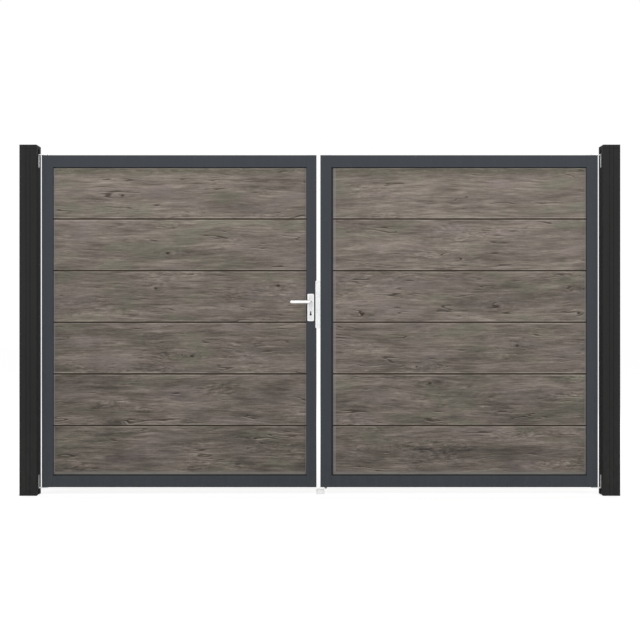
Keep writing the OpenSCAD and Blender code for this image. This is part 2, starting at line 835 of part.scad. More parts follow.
// Lever on the front of the leaf; the back lever is its mirror image
module lever() {
    hole = spindle_w + 2 * snug;
    bend_y = lever_y - lever_bend;
    neck_proud = 3;
    color(steel_colour) translate([spindle_x, 0, spindle_z]) difference() {
        union() {
            rod_along_y(-face_y - plate_t - neck_proud, -face_y, neck_r);
            rod_along_y(-bend_y, -face_y, lever_r);
            translate([-lever_bend, -bend_y, 0]) rotate([0, 0, -90]) rotate_extrude(angle = 90)
                translate([lever_bend, 0]) circle(lever_r);
            translate([0, -lever_y, 0]) rod_along_x(lever_r - lever_l, -lever_bend, lever_r);
            translate([lever_r - lever_l, -lever_y, 0]) sphere(lever_r);
        }
        translate([-hole / 2, -spindle_end, -hole / 2])
            cube([hole, spindle_end - face_y + eps, hole]);
    }
}

module spindle() {
    length = 2 * (spindle_end - snug);
    color(steel_colour) translate([spindle_x, 0, spindle_z])
        cube([spindle_w, length, spindle_w], center = true);
}

module follower() {
    hub = case_in_y - window_fit;
    hole = spindle_w + 2 * snug;
    color(steel_colour) translate([spindle_x, 0, spindle_z]) difference() {
        union() {
            rod_along_y(-hub, hub, hub_r);
            rod_along_y(-case_t / 2 - 1, case_t / 2 + 1, journal_r);
            rotate([0, arm_tilt, 0]) translate([-arm_w / 2, arm_y, 0])
                cube([arm_w, hub - arm_y, arm_l]);
        }
        cube([hole, 2 * case_t, hole], center = true);
    }
}

module latch_bolt() {
    half = bolt_t / 2;
    back_x = latch_tip_x - latch_body;
    bevel_x = latch_tip_x - latch_throw;
    tail_x = hook_x - hook_t;
    color(steel_colour) translate([0, 0, latch_z]) {
        translate([0, 0, -latch_h / 2]) linear_extrude(latch_h)
            polygon([[back_x, -half], [bevel_x, -half], [latch_tip_x, half - 1],
                [latch_tip_x, half], [back_x, half]]);
        translate([tail_x, tail_y, -tail_h / 2])
            cube([back_x - tail_x + eps, tail_t, tail_h]);
        translate([tail_x, tail_y, -tail_h / 2 - hook_drop])
            cube([hook_t, tail_t, hook_drop + eps]);
    }
}

// Coil of the latch spring, from the case's back wall to the latch bolt's head
spring_x0 = case_back_x + window_fit / 2 + spring_wire;
spring_x1 = latch_tip_x - latch_body - fit - spring_wire;
spring_step = 45;
spring_sides = 5;
spring_rings = spring_turns * 360 / spring_step;

function spring_ring(n) = let (a = n * spring_step,
    along = spring_x0 + (spring_x1 - spring_x0) * n / spring_rings)
    [for (k = [0 : spring_sides - 1]) let (b = k * 360 / spring_sides,
        r = spring_r + spring_wire * cos(b))
        [along + spring_wire * sin(b), spring_y + r * cos(a), latch_z + r * sin(a)]];

module latch_spring() {
    points = [for (n = [0 : spring_rings]) each spring_ring(n)];
    last = spring_rings * spring_sides;
    sides = [for (n = [0 : spring_rings - 1], k = [0 : spring_sides - 1])
        let (a = n * spring_sides + k, b = n * spring_sides + (k + 1) % spring_sides)
        each [[a, b, b + spring_sides], [a, b + spring_sides, a + spring_sides]]];
    ends = [for (k = [1 : spring_sides - 2]) each [[0, k + 1, k], [last, last + k, last + k + 1]]];
    color(steel_colour) polyhedron(points = points, faces = concat(sides, ends));
}

module dead_bolt() {
    tip_x = forend_x - window_fit;
    color(steel_colour) bar_x(tip_x - dead_l, tip_x) bolt_section(dead_z, dead_h, 0);
}

// Keeper

function keeper_screw_heights() =
    [for (n = [0 : 2]) keeper_z0 + keeper_screw_in + n * (keeper_h / 2 - keeper_screw_in)];

// Box of the keeper, open towards the stop plate
module strike_keeper() {
    color(steel_colour) difference() {
        translate([keeper_x0, -keeper_front, keeper_z0])
            cube([meeting_edge_x - keeper_x0, keeper_front + keeper_back, keeper_h]);
        translate([keeper_x0 + keeper_wall, -keeper_front - eps, keeper_z0 + keeper_wall])
            cube([meeting_edge_x - keeper_x0 - 2 * keeper_wall,
                keeper_front + keeper_back - keeper_wall + eps, keeper_h - 2 * keeper_wall]);
        bar_x(keeper_x0 - eps, keeper_x0 + keeper_wall + eps) {
            bolt_section(latch_z, latch_h, pocket_fit);
            bolt_section(dead_z, dead_h, pocket_fit);
        }
        for (z = keeper_screw_heights()) translate([0, 0, z]) {
            rod_along_x(keeper_x0 - eps, keeper_x0 + keeper_wall + eps, keeper_screw_head + 1);
            rod_along_x(meeting_edge_x - keeper_wall - eps, meeting_edge_x + eps,
                keeper_screw_r + snug);
        }
    }
}

// Plate on the front of the keeper's box, which the active leaf comes to rest against
module stop_plate() {
    flange_x = lock_edge_x - stop_lap;
    z1 = keeper_z0 + keeper_h;
    color(steel_colour) slab_y(-keeper_front - keeper_wall, -keeper_front)
        polygon([[flange_x + stop_cut, keeper_z0], [meeting_edge_x, keeper_z0],
            [meeting_edge_x, z1], [flange_x + stop_cut, z1], [flange_x, z1 - stop_cut],
            [flange_x, keeper_z0 + stop_cut]]);
}

// The keeper's three screws and the guides' four
module meeting_stile_screws() {
    color(steel_colour) {
        for (z = keeper_screw_heights()) translate([0, 0, z]) difference() {
            union() {
                rod_along_x(meeting_edge_x - keeper_wall - keeper_screw_r,
                    meeting_edge_x + keeper_screw_l, keeper_screw_r);
                rod_along_x(meeting_edge_x - keeper_wall - keeper_screw_r,
                    meeting_edge_x - keeper_wall, keeper_screw_head);
            }
            translate([meeting_edge_x - keeper_wall - keeper_screw_r - eps, 0, 0])
                rotate([0, 90, 0])
                    cylinder(r = keeper_screw_r / 2, h = keeper_screw_r / 2 + eps, $fn = 6);
        }
        for (z = guide_z, x = [-ear_screw, ear_screw])
            translate([rod_x + x, 0, z + guide_h / 2]) difference() {
                union() {
                    rod_along_y(face_y - ear_screw_l, face_y + ear_t + ear_screw_r,
                        ear_screw_r);
                    rod_along_y(face_y + ear_t, face_y + ear_t + ear_screw_r,
                        ear_screw_head);
                }
                translate([0, face_y + ear_t + ear_screw_r + eps, 0]) rotate([90, 0, 0])
                    cylinder(r = ear_screw_r * 3 / 4, h = ear_screw_r / 2 + eps, $fn = 6);
            }
    }
}

// Drop bolt

module bolt_guides() {
    w = 2 * (rod_r + guide_wall);
    color(steel_colour) for (z = guide_z) translate([rod_x, 0, z]) difference() {
        union() {
            translate([-w / 2, face_y, 0]) cube([w, rod_gap + rod_r, guide_h]);
            translate([0, rod_y, 0]) cylinder(r = w / 2, h = guide_h);
            translate([-ear_w / 2, face_y, 0]) cube([ear_w, ear_t, guide_h]);
        }
        translate([0, rod_y, -eps]) cylinder(r = rod_r + run_fit, h = guide_h + 2 * eps);
        for (x = [-ear_screw, ear_screw]) translate([x, 0, guide_h / 2])
            rod_along_y(face_y - eps, face_y + ear_t + eps, ear_screw_r + snug);
    }
}

module drop_bolt_rod() {
    tip = 2;
    color(steel_colour) translate([rod_x, rod_y, 0]) difference() {
        union() {
            translate([0, 0, rod_tip_z]) cylinder(r1 = rod_r - tip, r2 = rod_r, h = tip);
            translate([0, 0, rod_tip_z + tip]) cylinder(r = rod_r, h = rod_l - tip);
            translate([0, 0, collar_z]) cylinder(r = collar_r, h = collar_h);
        }
        translate([0, 0, grip_z]) rod_along_y(-rod_r / 2, rod_r + eps, grip_stem_r + snug);
    }
}

module drop_bolt_grip() {
    color(steel_colour) translate([rod_x, 0, grip_z]) {
        rod_along_y(rod_y - rod_r / 2, grip_y, grip_stem_r);
        rod_along_y(rod_y + rod_r + fit, grip_y, grip_arm_r);
        translate([0, grip_y, 0]) sphere(grip_ball_r);
    }
}

// Floor stop between the leaves, leaning sides and an anchor hole
module floor_stop() {
    x1 = stop_x0 + stop_w;
    color([0.86, 0.86, 0.85]) difference() {
        slab_y(stop_back - stop_deep, stop_back)
            polygon([[stop_x0, 0], [x1, 0], [x1 - stop_slant, stop_h],
                [stop_x0 - stop_lean, stop_h]]);
        translate([anchor_x, stop_back - stop_deep / 2, -eps])
            cylinder(r = anchor_r, h = stop_h + 2 * eps);
        translate([anchor_x, stop_back - stop_deep / 2, stop_h - anchor_head_d])
            cylinder(r = anchor_head_r, h = anchor_head_d + eps);
    }
}

post(-1);  // left_post
post(1);  // right_post
post_cap(-1);  // left_post_cap
post_cap(1);  // right_post_cap
post_covers(-1);  // left_post_covers
post_covers(1);  // right_post_covers
bracket(-1, top_bracket_z, -1);  // left_top_bracket
bracket(-1, bottom_bracket_z, 1);  // left_bottom_bracket
bracket(1, top_bracket_z, -1);  // right_top_bracket
bracket(1, bottom_bracket_z, 1);  // right_bottom_bracket
pivot_pins();
bracket_screws();
floor_stop();
hinge_stile(-1);  // left_hinge_stile
lock_stile();
top_rail(left_x0, left_x1);  // left_top_rail
bottom_rail(left_x0, left_x1);  // left_bottom_rail
board(left_x0, left_x1, 1);  // left_board_1
board(left_x0, left_x1, 2);  // left_board_2
board(left_x0, left_x1, 3);  // left_board_3
board(left_x0, left_x1, 4);  // left_board_4
board(left_x0, left_x1, 5);  // left_board_5
board(left_x0, left_x1, 6);  // left_board_6
gaskets(left_x0, left_x1, gasket_lip, gasket_lip);  // left_gaskets
corner_blocks(left_x0, left_x1);  // left_corner_blocks
end_plugs(-1, -lock_edge_x, lock_stile_w);  // left_end_plugs
pivot_bushes(-1);  // left_pivot_bushes
lock_case();
lock_cover();
lock_forend();
handle_plate(false);  // front_plate
back_plate();
lock_screws();
lever();  // front_lever
mirror([0, 1, 0]) lever();  // back_lever
spindle();
follower();
latch_bolt();
latch_spring();
dead_bolt();
hinge_stile(1);  // right_hinge_stile
meeting_stile();
top_rail(right_x0, right_x1);  // right_top_rail
bottom_rail(right_x0, right_x1);  // right_bottom_rail
board(right_x0, right_x1, 1);  // right_board_1
board(right_x0, right_x1, 2);  // right_board_2
board(right_x0, right_x1, 3);  // right_board_3
board(right_x0, right_x1, 4);  // right_board_4
board(right_x0, right_x1, 5);  // right_board_5
board(right_x0, right_x1, 6);  // right_board_6
gaskets(right_x0, right_x1, gasket_meeting, gasket_lip);  // right_gaskets
corner_blocks(right_x0, right_x1);  // right_corner_blocks
end_plugs(1, meeting_edge_x, meeting_stile_w);  // right_end_plugs
pivot_bushes(1);  // right_pivot_bushes
strike_keeper();
stop_plate();
meeting_stile_screws();
bolt_guides();
drop_bolt_rod();
drop_bolt_grip();
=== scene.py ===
# %% [markdown]
# # A double fence gate
# Two framed leaves with weathered oak boards hang between two slotted posts. The rigid parts
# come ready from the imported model, in metres, each where it belongs. This notebook gives every
# one of them its finish, makes the rubber seals and the latch spring anew, and sets up light
# and camera.

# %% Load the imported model
import math

import bmesh
import bpy
from mathutils import Matrix, Vector


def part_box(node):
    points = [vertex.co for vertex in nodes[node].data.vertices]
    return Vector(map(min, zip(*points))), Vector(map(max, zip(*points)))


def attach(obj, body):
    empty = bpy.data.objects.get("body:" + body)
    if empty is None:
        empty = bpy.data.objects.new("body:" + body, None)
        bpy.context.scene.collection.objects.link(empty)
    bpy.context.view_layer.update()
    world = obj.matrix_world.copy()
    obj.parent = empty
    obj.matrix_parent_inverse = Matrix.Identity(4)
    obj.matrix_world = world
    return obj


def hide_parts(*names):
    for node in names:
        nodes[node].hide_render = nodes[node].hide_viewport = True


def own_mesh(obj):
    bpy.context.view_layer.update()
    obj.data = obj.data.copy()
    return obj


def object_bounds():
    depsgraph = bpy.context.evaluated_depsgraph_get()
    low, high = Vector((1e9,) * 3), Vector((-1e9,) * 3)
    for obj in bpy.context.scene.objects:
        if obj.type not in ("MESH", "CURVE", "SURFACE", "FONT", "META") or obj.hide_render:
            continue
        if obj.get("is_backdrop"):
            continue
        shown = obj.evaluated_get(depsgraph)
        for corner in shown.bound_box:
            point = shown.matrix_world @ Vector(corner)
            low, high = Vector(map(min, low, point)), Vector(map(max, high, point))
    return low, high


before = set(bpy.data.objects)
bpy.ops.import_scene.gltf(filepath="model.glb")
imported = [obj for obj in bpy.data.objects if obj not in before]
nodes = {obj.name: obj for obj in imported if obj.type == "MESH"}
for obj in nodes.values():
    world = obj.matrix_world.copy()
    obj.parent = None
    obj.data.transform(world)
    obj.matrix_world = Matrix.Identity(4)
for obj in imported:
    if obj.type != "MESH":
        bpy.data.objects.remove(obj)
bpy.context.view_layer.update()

# %% [markdown]
# ## The camera
# The photograph looks at the gate squarely, from about 6 m away and from half its height, so
# the leaves show no perspective of their own and only the posts' inner sides can be seen.
# A lens is easiest to find from its focal length in pixels: 1102.5 px over a frame of 640 px.

# %% Make the camera
FOCAL_PX = 1102.5
FRAME_PX = 640
EYE = Vector((0.001, -5.971, 0.945))

camera_data = bpy.data.cameras.new("camera")
camera_data.sensor_width = 36
camera_data.lens = camera_data.sensor_width * FOCAL_PX / FRAME_PX
camera = bpy.data.objects.new("camera", camera_data)
camera.location = EYE
camera.rotation_euler = (math.radians(90), 0, 0)
bpy.context.scene.collection.objects.link(camera)
bpy.context.scene.camera = camera
print("lens:", round(camera_data.lens, 2), "mm")

# %% [markdown]
# ## Small helpers for node trees
# A material is a graph, and so is the world. Writing one out link by link is long, so `add`
# makes one node and takes either numbers or other nodes' sockets as its inputs. The next few
# helpers name the steps that come back everywhere: arithmetic, a range and a blend.

# %% Helpers that build node trees
def add(tree, kind, inputs=(), **settings):
    """A new node; an input may be a value or another node's output socket."""
    made = tree.nodes.new("ShaderNode" + kind)
    for key, value in settings.items():
        setattr(made, key, value)
    for key, value in dict(inputs).items():
        if isinstance(value, bpy.types.NodeSocket):
            tree.links.new(value, made.inputs[key])
        else:
            made.inputs[key].default_value = value
    return made


def calc(tree, operation, a, b=0.0, clamp=False):
    """One step of arithmetic."""
    return add(tree, "Math", {0: a, 1: b}, operation=operation, use_clamp=clamp).outputs[0]


def fit_range(tree, value, low, high, new_low, new_high):
    """Carries value from the range low to high over to a new range, and clamps it."""
    inputs = {"Value": value, "From Min": low, "From Max": high,
              "To Min": new_low, "To Max": new_high}
    return add(tree, "MapRange", inputs).outputs[0]


def blend(tree, amount, first, second, how="MIX"):
    """Blends two colours."""
    mixer = add(tree, "Mix", {0: amount, 6: first, 7: second}, data_type="RGBA", blend_type=how)
    return mixer.outputs[2]


print("node helpers ready")

# %% [markdown]
# Most patterns of a real surface are noise that is drawn out one way, and a ramp that turns its
# values into colours. A group then holds such a pattern under one name, with sockets for what
# differs between the materials that use it.

# %% Helpers for places, noise, colours and groups
def times(tree, vector, per_metre):
    """Scales a place, each axis by its own amount."""
    return add(tree, "VectorMath", {0: vector, 1: per_metre}, operation="MULTIPLY").outputs[0]


def moved(tree, vector, by):
    """A place moved by a number of metres on each axis."""
    return add(tree, "VectorMath", {0: vector, 1: by}, operation="ADD").outputs[0]


def noise(tree, vector, per_metre, detail=2.0, roughness=0.5):
    """Noise with per_metre features along X, Y and Z: a low number draws it out that way."""
    inputs = {"Vector": times(tree, vector, per_metre), "Scale": 1.0,
              "Detail": detail, "Roughness": roughness}
    return add(tree, "TexNoise", inputs).outputs["Fac"]


def ramp(tree, value, stops):
    """A colour for each value, from stops of place and colour."""
    node = add(tree, "ValToRGB", {"Fac": value})
    line = node.color_ramp.elements
    while len(line) < len(stops):
        line.new(0.5)
    for stop, (place, colour) in zip(line, stops):
        stop.position = place
        stop.color = (*colour, 1)
    return node.outputs["Color"]


def shaded(tree, colour, shade):
    """A colour made darker or lighter by a factor."""
    grey = add(tree, "CombineColor", {0: shade, 1: shade, 2: shade}).outputs[0]
    return blend(tree, 1.0, colour, grey, "MULTIPLY")


def new_group(name, inputs, outputs=(("Colour", "Color"), ("Roughness", "Float"),
                                     ("Height", "Float"))):
    """An empty node group with named sockets; returns it, its inputs and its outputs."""
    group = bpy.data.node_groups.new(name, "ShaderNodeTree")
    for title, kind in inputs:
        group.interface.new_socket(title, in_out="INPUT", socket_type="NodeSocket" + kind)
    for title, kind in outputs:
        group.interface.new_socket(title, in_out="OUTPUT", socket_type="NodeSocket" + kind)
    start = group.nodes.new("NodeGroupInput")
    end = group.nodes.new("NodeGroupOutput")
    return group, start.outputs, end.inputs


print("pattern helpers ready")

# %% [markdown]
# ## Light
# The studio is white all round. The world is the main lamp: it gives even light with no hard
# shadow. One wide lamp high in front makes the upper boards a little brighter than the lower
# ones, as a softbox does, a small one at the right gives the metal an edge of light, and one
# behind lights the back. Rays from the camera, and those that polished metal sends out, see
# plain white, so the background stays white while the light on the gate stays modest.

# %% Set up the world
SKY_LIGHT = 0.55


def sees_background(tree):
    """A socket that is 1 for rays from the camera, and for those through mirrors and glass."""
    rays = add(tree, "LightPath").outputs
    seen = calc(tree, "MAXIMUM", rays["Is Camera Ray"], rays["Is Glossy Ray"])
    return calc(tree, "MAXIMUM", seen, rays["Is Transmission Ray"])


world = bpy.data.worlds.new("studio")
world.use_nodes = True
studio = world.node_tree
studio.nodes.clear()
sky = add(studio, "Background", {"Color": (1, 1, 1, 1), "Strength": SKY_LIGHT})
white = add(studio, "Background", {"Color": (1, 1, 1, 1), "Strength": 1.0})
choose = add(studio, "MixShader", {0: sees_background(studio), 1: sky.outputs[0],
                                   2: white.outputs[0]})
add(studio, "OutputWorld", {"Surface": choose.outputs[0]})
bpy.context.scene.world = world
bpy.context.scene.view_settings.view_transform = "Standard"
print("world strength on the gate:", SKY_LIGHT)

# %% Hang the lamps
# name, place, point it is aimed at, width, height, power in watts
LAMPS = [
    ("softbox_front", (-1.2, -4.8, 4.6), (0, 0, 1.3), 6.0, 3.0, 125),
    ("softbox_right", (4.2, -4.8, 2.6), (0.6, 0, 0.9), 2.5, 2.5, 40),
    ("softbox_back", (1.8, 4.8, 3.6), (0, 0, 1.0), 4.0, 2.0, 85),
]


def hang_lamp(name, place, target, width, height, power):
    """An area lamp at place that shines at target."""
    lamp = bpy.data.lights.new(name, "AREA")
    lamp.shape = "RECTANGLE"
    lamp.size, lamp.size_y = width, height
    lamp.energy = power
    holder = bpy.data.objects.new(name, lamp)
    holder.location = place
    holder.rotation_euler = (Vector(target) - Vector(place)).to_track_quat("-Z", "Y").to_euler()
    bpy.context.scene.collection.objects.link(holder)
    return holder


for lamp_row in LAMPS:
    hang_lamp(*lamp_row)
print("lamps:", [row[0] for row in LAMPS])

# %% [markdown]
# A finish is always the same last step: a Principled shader that takes colour, roughness and
# height from a group, with a Bump node between height and normal. Numbers that stay the same
# all over a surface, such as how metallic it is, sit on the shader's own sockets.

# %% A material around a group
def blank_material(name):
    """A new material and its node tree, with nothing in it yet."""
    material = bpy.data.materials.new(name)
    material.use_nodes = True
    material.node_tree.nodes.clear()
    return material, material.node_tree


def finish_material(name, group, values, metallic=0.0, specular=0.5, bump=0.3, relief=0.0005,
                    shift=None):
    """A material that reads Object coordinates through a group's pattern."""
    material, tree = blank_material(name)
    place = add(tree, "TexCoord").outputs["Object"]
    if shift is not None:
        place = add(tree, "Mapping", {"Vector": place, "Location": shift}).outputs[0]
    pattern = add(tree, "Group", node_tree=group)
    tree.links.new(place, pattern.inputs["Vector"])
    for key, value in values.items():
        pattern.inputs[key].default_value = value
    surface = add(tree, "Bump", {"Height": pattern.outputs["Height"], "Strength": bump,
                                 "Distance": relief})
    shader = add(tree, "BsdfPrincipled", {"Base Color": pattern.outputs["Colour"],
                                          "Roughness": pattern.outputs["Roughness"],
                                          "Normal": surface.outputs[0],
                                          "Metallic": metallic,
                                          "Specular IOR Level": specular})
    add(tree, "OutputMaterial", {"Surface": shader.outputs[0]})
    return material


def dress(name, material):
    """Gives a node of the model its material."""
    piece = nodes[name]
    if not piece.material_slots:
        piece.data.materials.append(None)
    for place in piece.material_slots:
        place.material = material


print("pieces that wait for a finish:", len(nodes))

# %% [markdown]
# ## Weathered oak
# The boards carry a grey-brown oak decor: fine lines that flow along the board, thin dark
# cracks with a painted highlight on their lower lip, and small knots that the lines part around.
# A picture could be printed on them, but a pattern made of noise has no limit to its detail. The
# trick for wood is to squeeze noise along the board, so that its blobs become fibres. Before that
# the place itself is bent, and every layer follows the bend.
#
# A knot is the root of a branch. A 2D Voronoi texture scatters points, and tells each place
# where its nearest point lies, so a few of those points become knots.

# %% The knots of a board
KNOTS_PER_M = (1.7, 5.0)
KNOT_SHARE = 0.42
KNOT_REACH = (0.15, 0.040)
KNOT_ROUNDNESS = 0.62
# Smallest and largest radius of a knot, and how strongly the lines part around it
KNOT_RADII = (0.0035, 0.0080)
KNOT_PARTING = -0.85


def find_knots(group, along, up):
    """Masks of knot and halo, and how far a place near a knot slips towards it."""
    place = add(group, "CombineXYZ", {"X": calc(group, "MULTIPLY", along, KNOTS_PER_M[0]),
                                      "Y": calc(group, "MULTIPLY", up, KNOTS_PER_M[1])})
    cells = add(group, "TexVoronoi", {"Vector": place.outputs[0], "Scale": 1.0},
                voronoi_dimensions="2D")
    centre = add(group, "SeparateXYZ", {0: cells.outputs["Position"]})
    dice = add(group, "SeparateColor", {0: cells.outputs["Color"]})
    aside = calc(group, "SUBTRACT", along,
                 calc(group, "DIVIDE", centre.outputs["X"], KNOTS_PER_M[0]))
    above = calc(group, "SUBTRACT", up,
                 calc(group, "DIVIDE", centre.outputs["Y"], KNOTS_PER_M[1]))
    chosen = calc(group, "LESS_THAN", dice.outputs[0], KNOT_SHARE)
    size = fit_range(group, dice.outputs[1], 0.0, 1.0, *KNOT_RADII)

    offset = add(group, "CombineXYZ", {"X": calc(group, "MULTIPLY", aside, KNOT_ROUNDNESS),
                                       "Y": above})
    away = add(group, "VectorMath", {0: offset.outputs[0]}, operation="LENGTH").outputs["Value"]
    knot = calc(group, "MULTIPLY", chosen,
                fit_range(group, calc(group, "DIVIDE", away, size), 0.55, 1.15, 1.0, 0.0))
    oval = add(group, "CombineXYZ", {"X": calc(group, "DIVIDE", aside, KNOT_REACH[0]),
                                     "Y": calc(group, "DIVIDE", above, KNOT_REACH[1])})
    reach = add(group, "VectorMath", {0: oval.outputs[0]}, operation="LENGTH").outputs["Value"]
    halo = calc(group, "MULTIPLY", chosen, fit_range(group, reach, 0.0, 1.0, 1.0, 0.0))
    slip = calc(group, "MULTIPLY", calc(group, "MULTIPLY", above, halo), KNOT_PARTING)
    return knot, halo, slip


print("knots per square metre:", round(KNOTS_PER_M[0] * KNOTS_PER_M[1] * KNOT_SHARE, 1))

# %% [markdown]
# A crack opens where the surface has dried: it is long and thin, and it ends. Where a soft
# noise passes through its middle value it draws long thin level lines, like those on a map. A
# second noise keeps only short lengths of them. Sampled again a few millimetres higher, the
# same crack gives a painted highlight on its lower lip, where light from above would catch it.

# %% The cracks of a board
# Features per metre of the crack lines, and of the noise that cuts them short
CRACK_LINES = (2.2, 6.0, 27.0)
CRACK_LENGTHS = (6.5, 9.0, 19.0)
# How far a crack reaches to each side of the noise's middle value
CRACK_HALF = 0.022
# How far above a crack its lip's painted highlight is sampled
LIP_HIGHLIGHT_ABOVE = 0.0034


def find_cracks(group, bent):
    """A mask of long thin cracks."""
    level = calc(group, "SUBTRACT", noise(group, bent, CRACK_LINES), 0.5)
    line = fit_range(group, calc(group, "ABSOLUTE", level), CRACK_HALF * 0.35, CRACK_HALF,
                     1.0, 0.0)
    length = fit_range(group, noise(group, bent, CRACK_LENGTHS), 0.55, 0.63, 0.0, 1.0)
    return calc(group, "MULTIPLY", line, length)


print("crack lines per metre along, through and up a board:", CRACK_LINES)

# %% [markdown]
# At a board's edges the colour changes. Rain leaves a damp band under the top rail, and the
# panel's outermost rims, where the seal used to lie, are faded. Along each seam runs a painted
# highlight, and the seam itself gets painted shade. Each of these is a matter of how far a place
# is from an edge, so they are painted over the grain from the board's own coordinates.

# %% The edges of a board
BOARD_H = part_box("left_board_2")[0].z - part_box("left_board_1")[0].z
TOP_ROW = 6.0
# Dark colour of cracks and knots, and painted shade in the seams
OAK_CRACK_AND_SEAM_SHADE = (0.038, 0.027, 0.020, 1)
# Painted highlight on crack lips and beside the seams
OAK_LIP_HIGHLIGHT = (0.440, 0.390, 0.330, 1)
OAK_FADED = (0.250, 0.244, 0.226, 1)
OAK_DAMP = (0.120, 0.118, 0.078, 1)
# Height of the painted seam shade at a board's edge, and of the faded rims above and below the
# panel
SEAM_HALF = 0.0038
FOOT_RIM = 0.030
TOP_RIM = 0.007
# The damp band begins and is full this far below a top board's edge, and wavers by this much
DAMP_BELOW = (0.050, 0.022)
DAMP_WAVE = 0.014
# Distances from a board's edge over which the painted highlight rises and fades again
HIGHLIGHT_RISE = (0.0045, 0.0058)
HIGHLIGHT_FALL = (0.0105, 0.0075)


def paint_edges(group, colour, given, streak, ripple):
    """Damp streaks under the top rail, faded rims of the panel, and a painted highlight and painted
    shade along each seam.
    """
    axes = add(group, "SeparateXYZ", {0: given["Vector"]}).outputs
    along, up = axes["X"], axes["Z"]
    top_row = calc(group, "GREATER_THAN", given["Row"], TOP_ROW - 0.5)
    low_row = calc(group, "LESS_THAN", given["Row"], 1.5)
    level = calc(group, "ADD", up, fit_range(group, streak, 0.3, 0.7, -DAMP_WAVE, DAMP_WAVE))
    damp = calc(group, "MULTIPLY", fit_range(group, level, BOARD_H - DAMP_BELOW[0],
                                             BOARD_H - DAMP_BELOW[1], 0.0, 1.0),
                fit_range(group, ripple, 0.36, 0.62, 0.85, 0.15))
    colour = blend(group, calc(group, "MULTIPLY", damp, top_row), colour, OAK_DAMP)

    rims = calc(group, "MAXIMUM", calc(group, "LESS_THAN", along, given["Start"]),
                calc(group, "GREATER_THAN", along, given["Finish"]))
    foot = calc(group, "MULTIPLY", low_row, calc(group, "LESS_THAN", up, FOOT_RIM))
    crown = calc(group, "MULTIPLY", top_row, calc(group, "GREATER_THAN", up, BOARD_H - TOP_RIM))
    rims = calc(group, "MAXIMUM", rims, calc(group, "MAXIMUM", foot, crown))
    colour = blend(group, calc(group, "MULTIPLY", rims, 0.60), colour, OAK_FADED)

    middle = calc(group, "ABSOLUTE", calc(group, "SUBTRACT", up, BOARD_H / 2))
    near = calc(group, "SUBTRACT", BOARD_H / 2, middle)
    # A painted highlight a few millimetres in from each edge of the board
    line = calc(group, "MULTIPLY", fit_range(group, near, *HIGHLIGHT_RISE, 0.0, 1.0),
                fit_range(group, near, *HIGHLIGHT_FALL, 0.0, 1.0))
    line = calc(group, "MULTIPLY", line, fit_range(group, streak, 0.42, 0.60, 0.10, 0.65))
    colour = blend(group, line, colour, OAK_LIP_HIGHLIGHT)
    # Painted shade in the seam between two boards
    seam_shade = fit_range(group, near, SEAM_HALF + 0.0012, SEAM_HALF - 0.0008, 0.0, 0.95)
    return blend(group, seam_shade, colour, OAK_CRACK_AND_SEAM_SHADE)


print("board height:", round(BOARD_H, 4), "m")

# %% [markdown]
# The wood is built from coarse to fine: broad bands, streaks, clusters of short ripples,
# fibres, and at last pores, which only a close view shows. They read a place that has been
# bent first, by a slow wave, a quick one and the pull of a knot. Tints, patches of tone, and
# the spots where ripples gather follow no line of the wood, so they read the place unbent.

# %% The layers of the wood
# Features per metre of each layer, along, through and up a board
GRAIN = {"slow bend": (1.6, 2.0, 4.0), "quick bend": (7.0, 6.0, 22.0), "band": (1.2, 3.0, 13.0),
         "streak": (5.5, 14.0, 72.0), "ripple": (27.0, 24.0, 120.0),
         "cluster": (3.2, 4.0, 11.0), "fibre": (14.0, 60.0, 330.0),
         "pore": (70.0, 200.0, 950.0), "tint": (3.4, 5.0, 10.0), "patch": (4.5, 7.0, 15.0)}
# How far the two bends move a line, in metres
SLOW_BEND = 0.055
QUICK_BEND = 0.012


def bend_lines(group, seeded, slip):
    """A place moved up or down by the wood's waves and by the pull of a knot."""
    slow = calc(group, "SUBTRACT", noise(group, seeded, GRAIN["slow bend"], 1.0), 0.5)
    quick = calc(group, "SUBTRACT", noise(group, seeded, GRAIN["quick bend"], 1.0), 0.5)
    bend = calc(group, "ADD", calc(group, "MULTIPLY", slow, SLOW_BEND),
                calc(group, "MULTIPLY", quick, QUICK_BEND))
    rise = add(group, "CombineXYZ", {"Z": calc(group, "ADD", bend, slip)}).outputs[0]
    return moved(group, seeded, rise)


def wood_layers(group, seeded, bent, halo):
    """Every layer of the wood by its name, as a noise or a mask."""
    layers = {"band": noise(group, bent, GRAIN["band"]),
              "streak": noise(group, bent, GRAIN["streak"], 5.0, 0.68),
              "ripple": noise(group, bent, GRAIN["ripple"], 3.0, 0.65),
              "fibre": noise(group, bent, GRAIN["fibre"], 3.0, 0.6),
              "tint": noise(group, seeded, GRAIN["tint"]),
              "patch": noise(group, seeded, GRAIN["patch"], 1.0),
              "crack": find_cracks(group, bent)}
    pores = noise(group, bent, GRAIN["pore"])
    layers["pore"] = fit_range(group, pores, 0.58, 0.68, 1.0, 0.70)
    cluster = fit_range(group, noise(group, seeded, GRAIN["cluster"]), 0.54, 0.66, 0.0, 1.0)
    layers["cluster"] = calc(group, "MAXIMUM", cluster, calc(group, "MULTIPLY", halo, 0.8))
    # The lip is a painted highlight: the crack sampled a little higher, less the crack itself
    higher = find_cracks(group, moved(group, bent, (0.0, 0.0, LIP_HIGHLIGHT_ABOVE)))
    layers["lip"] = calc(group, "SUBTRACT", higher, layers["crack"], clamp=True)
    return layers


print("layers of the wood:", ", ".join(GRAIN))

# %% [markdown]
# A colour runs from dark to pale along the streaks, and patches of mauve and moss green break up
# the brown. Each of the other layers is a factor near 1, so that all of them multiply to one
# shade. A power makes that shade stronger in the lower boards, as on the real gate.

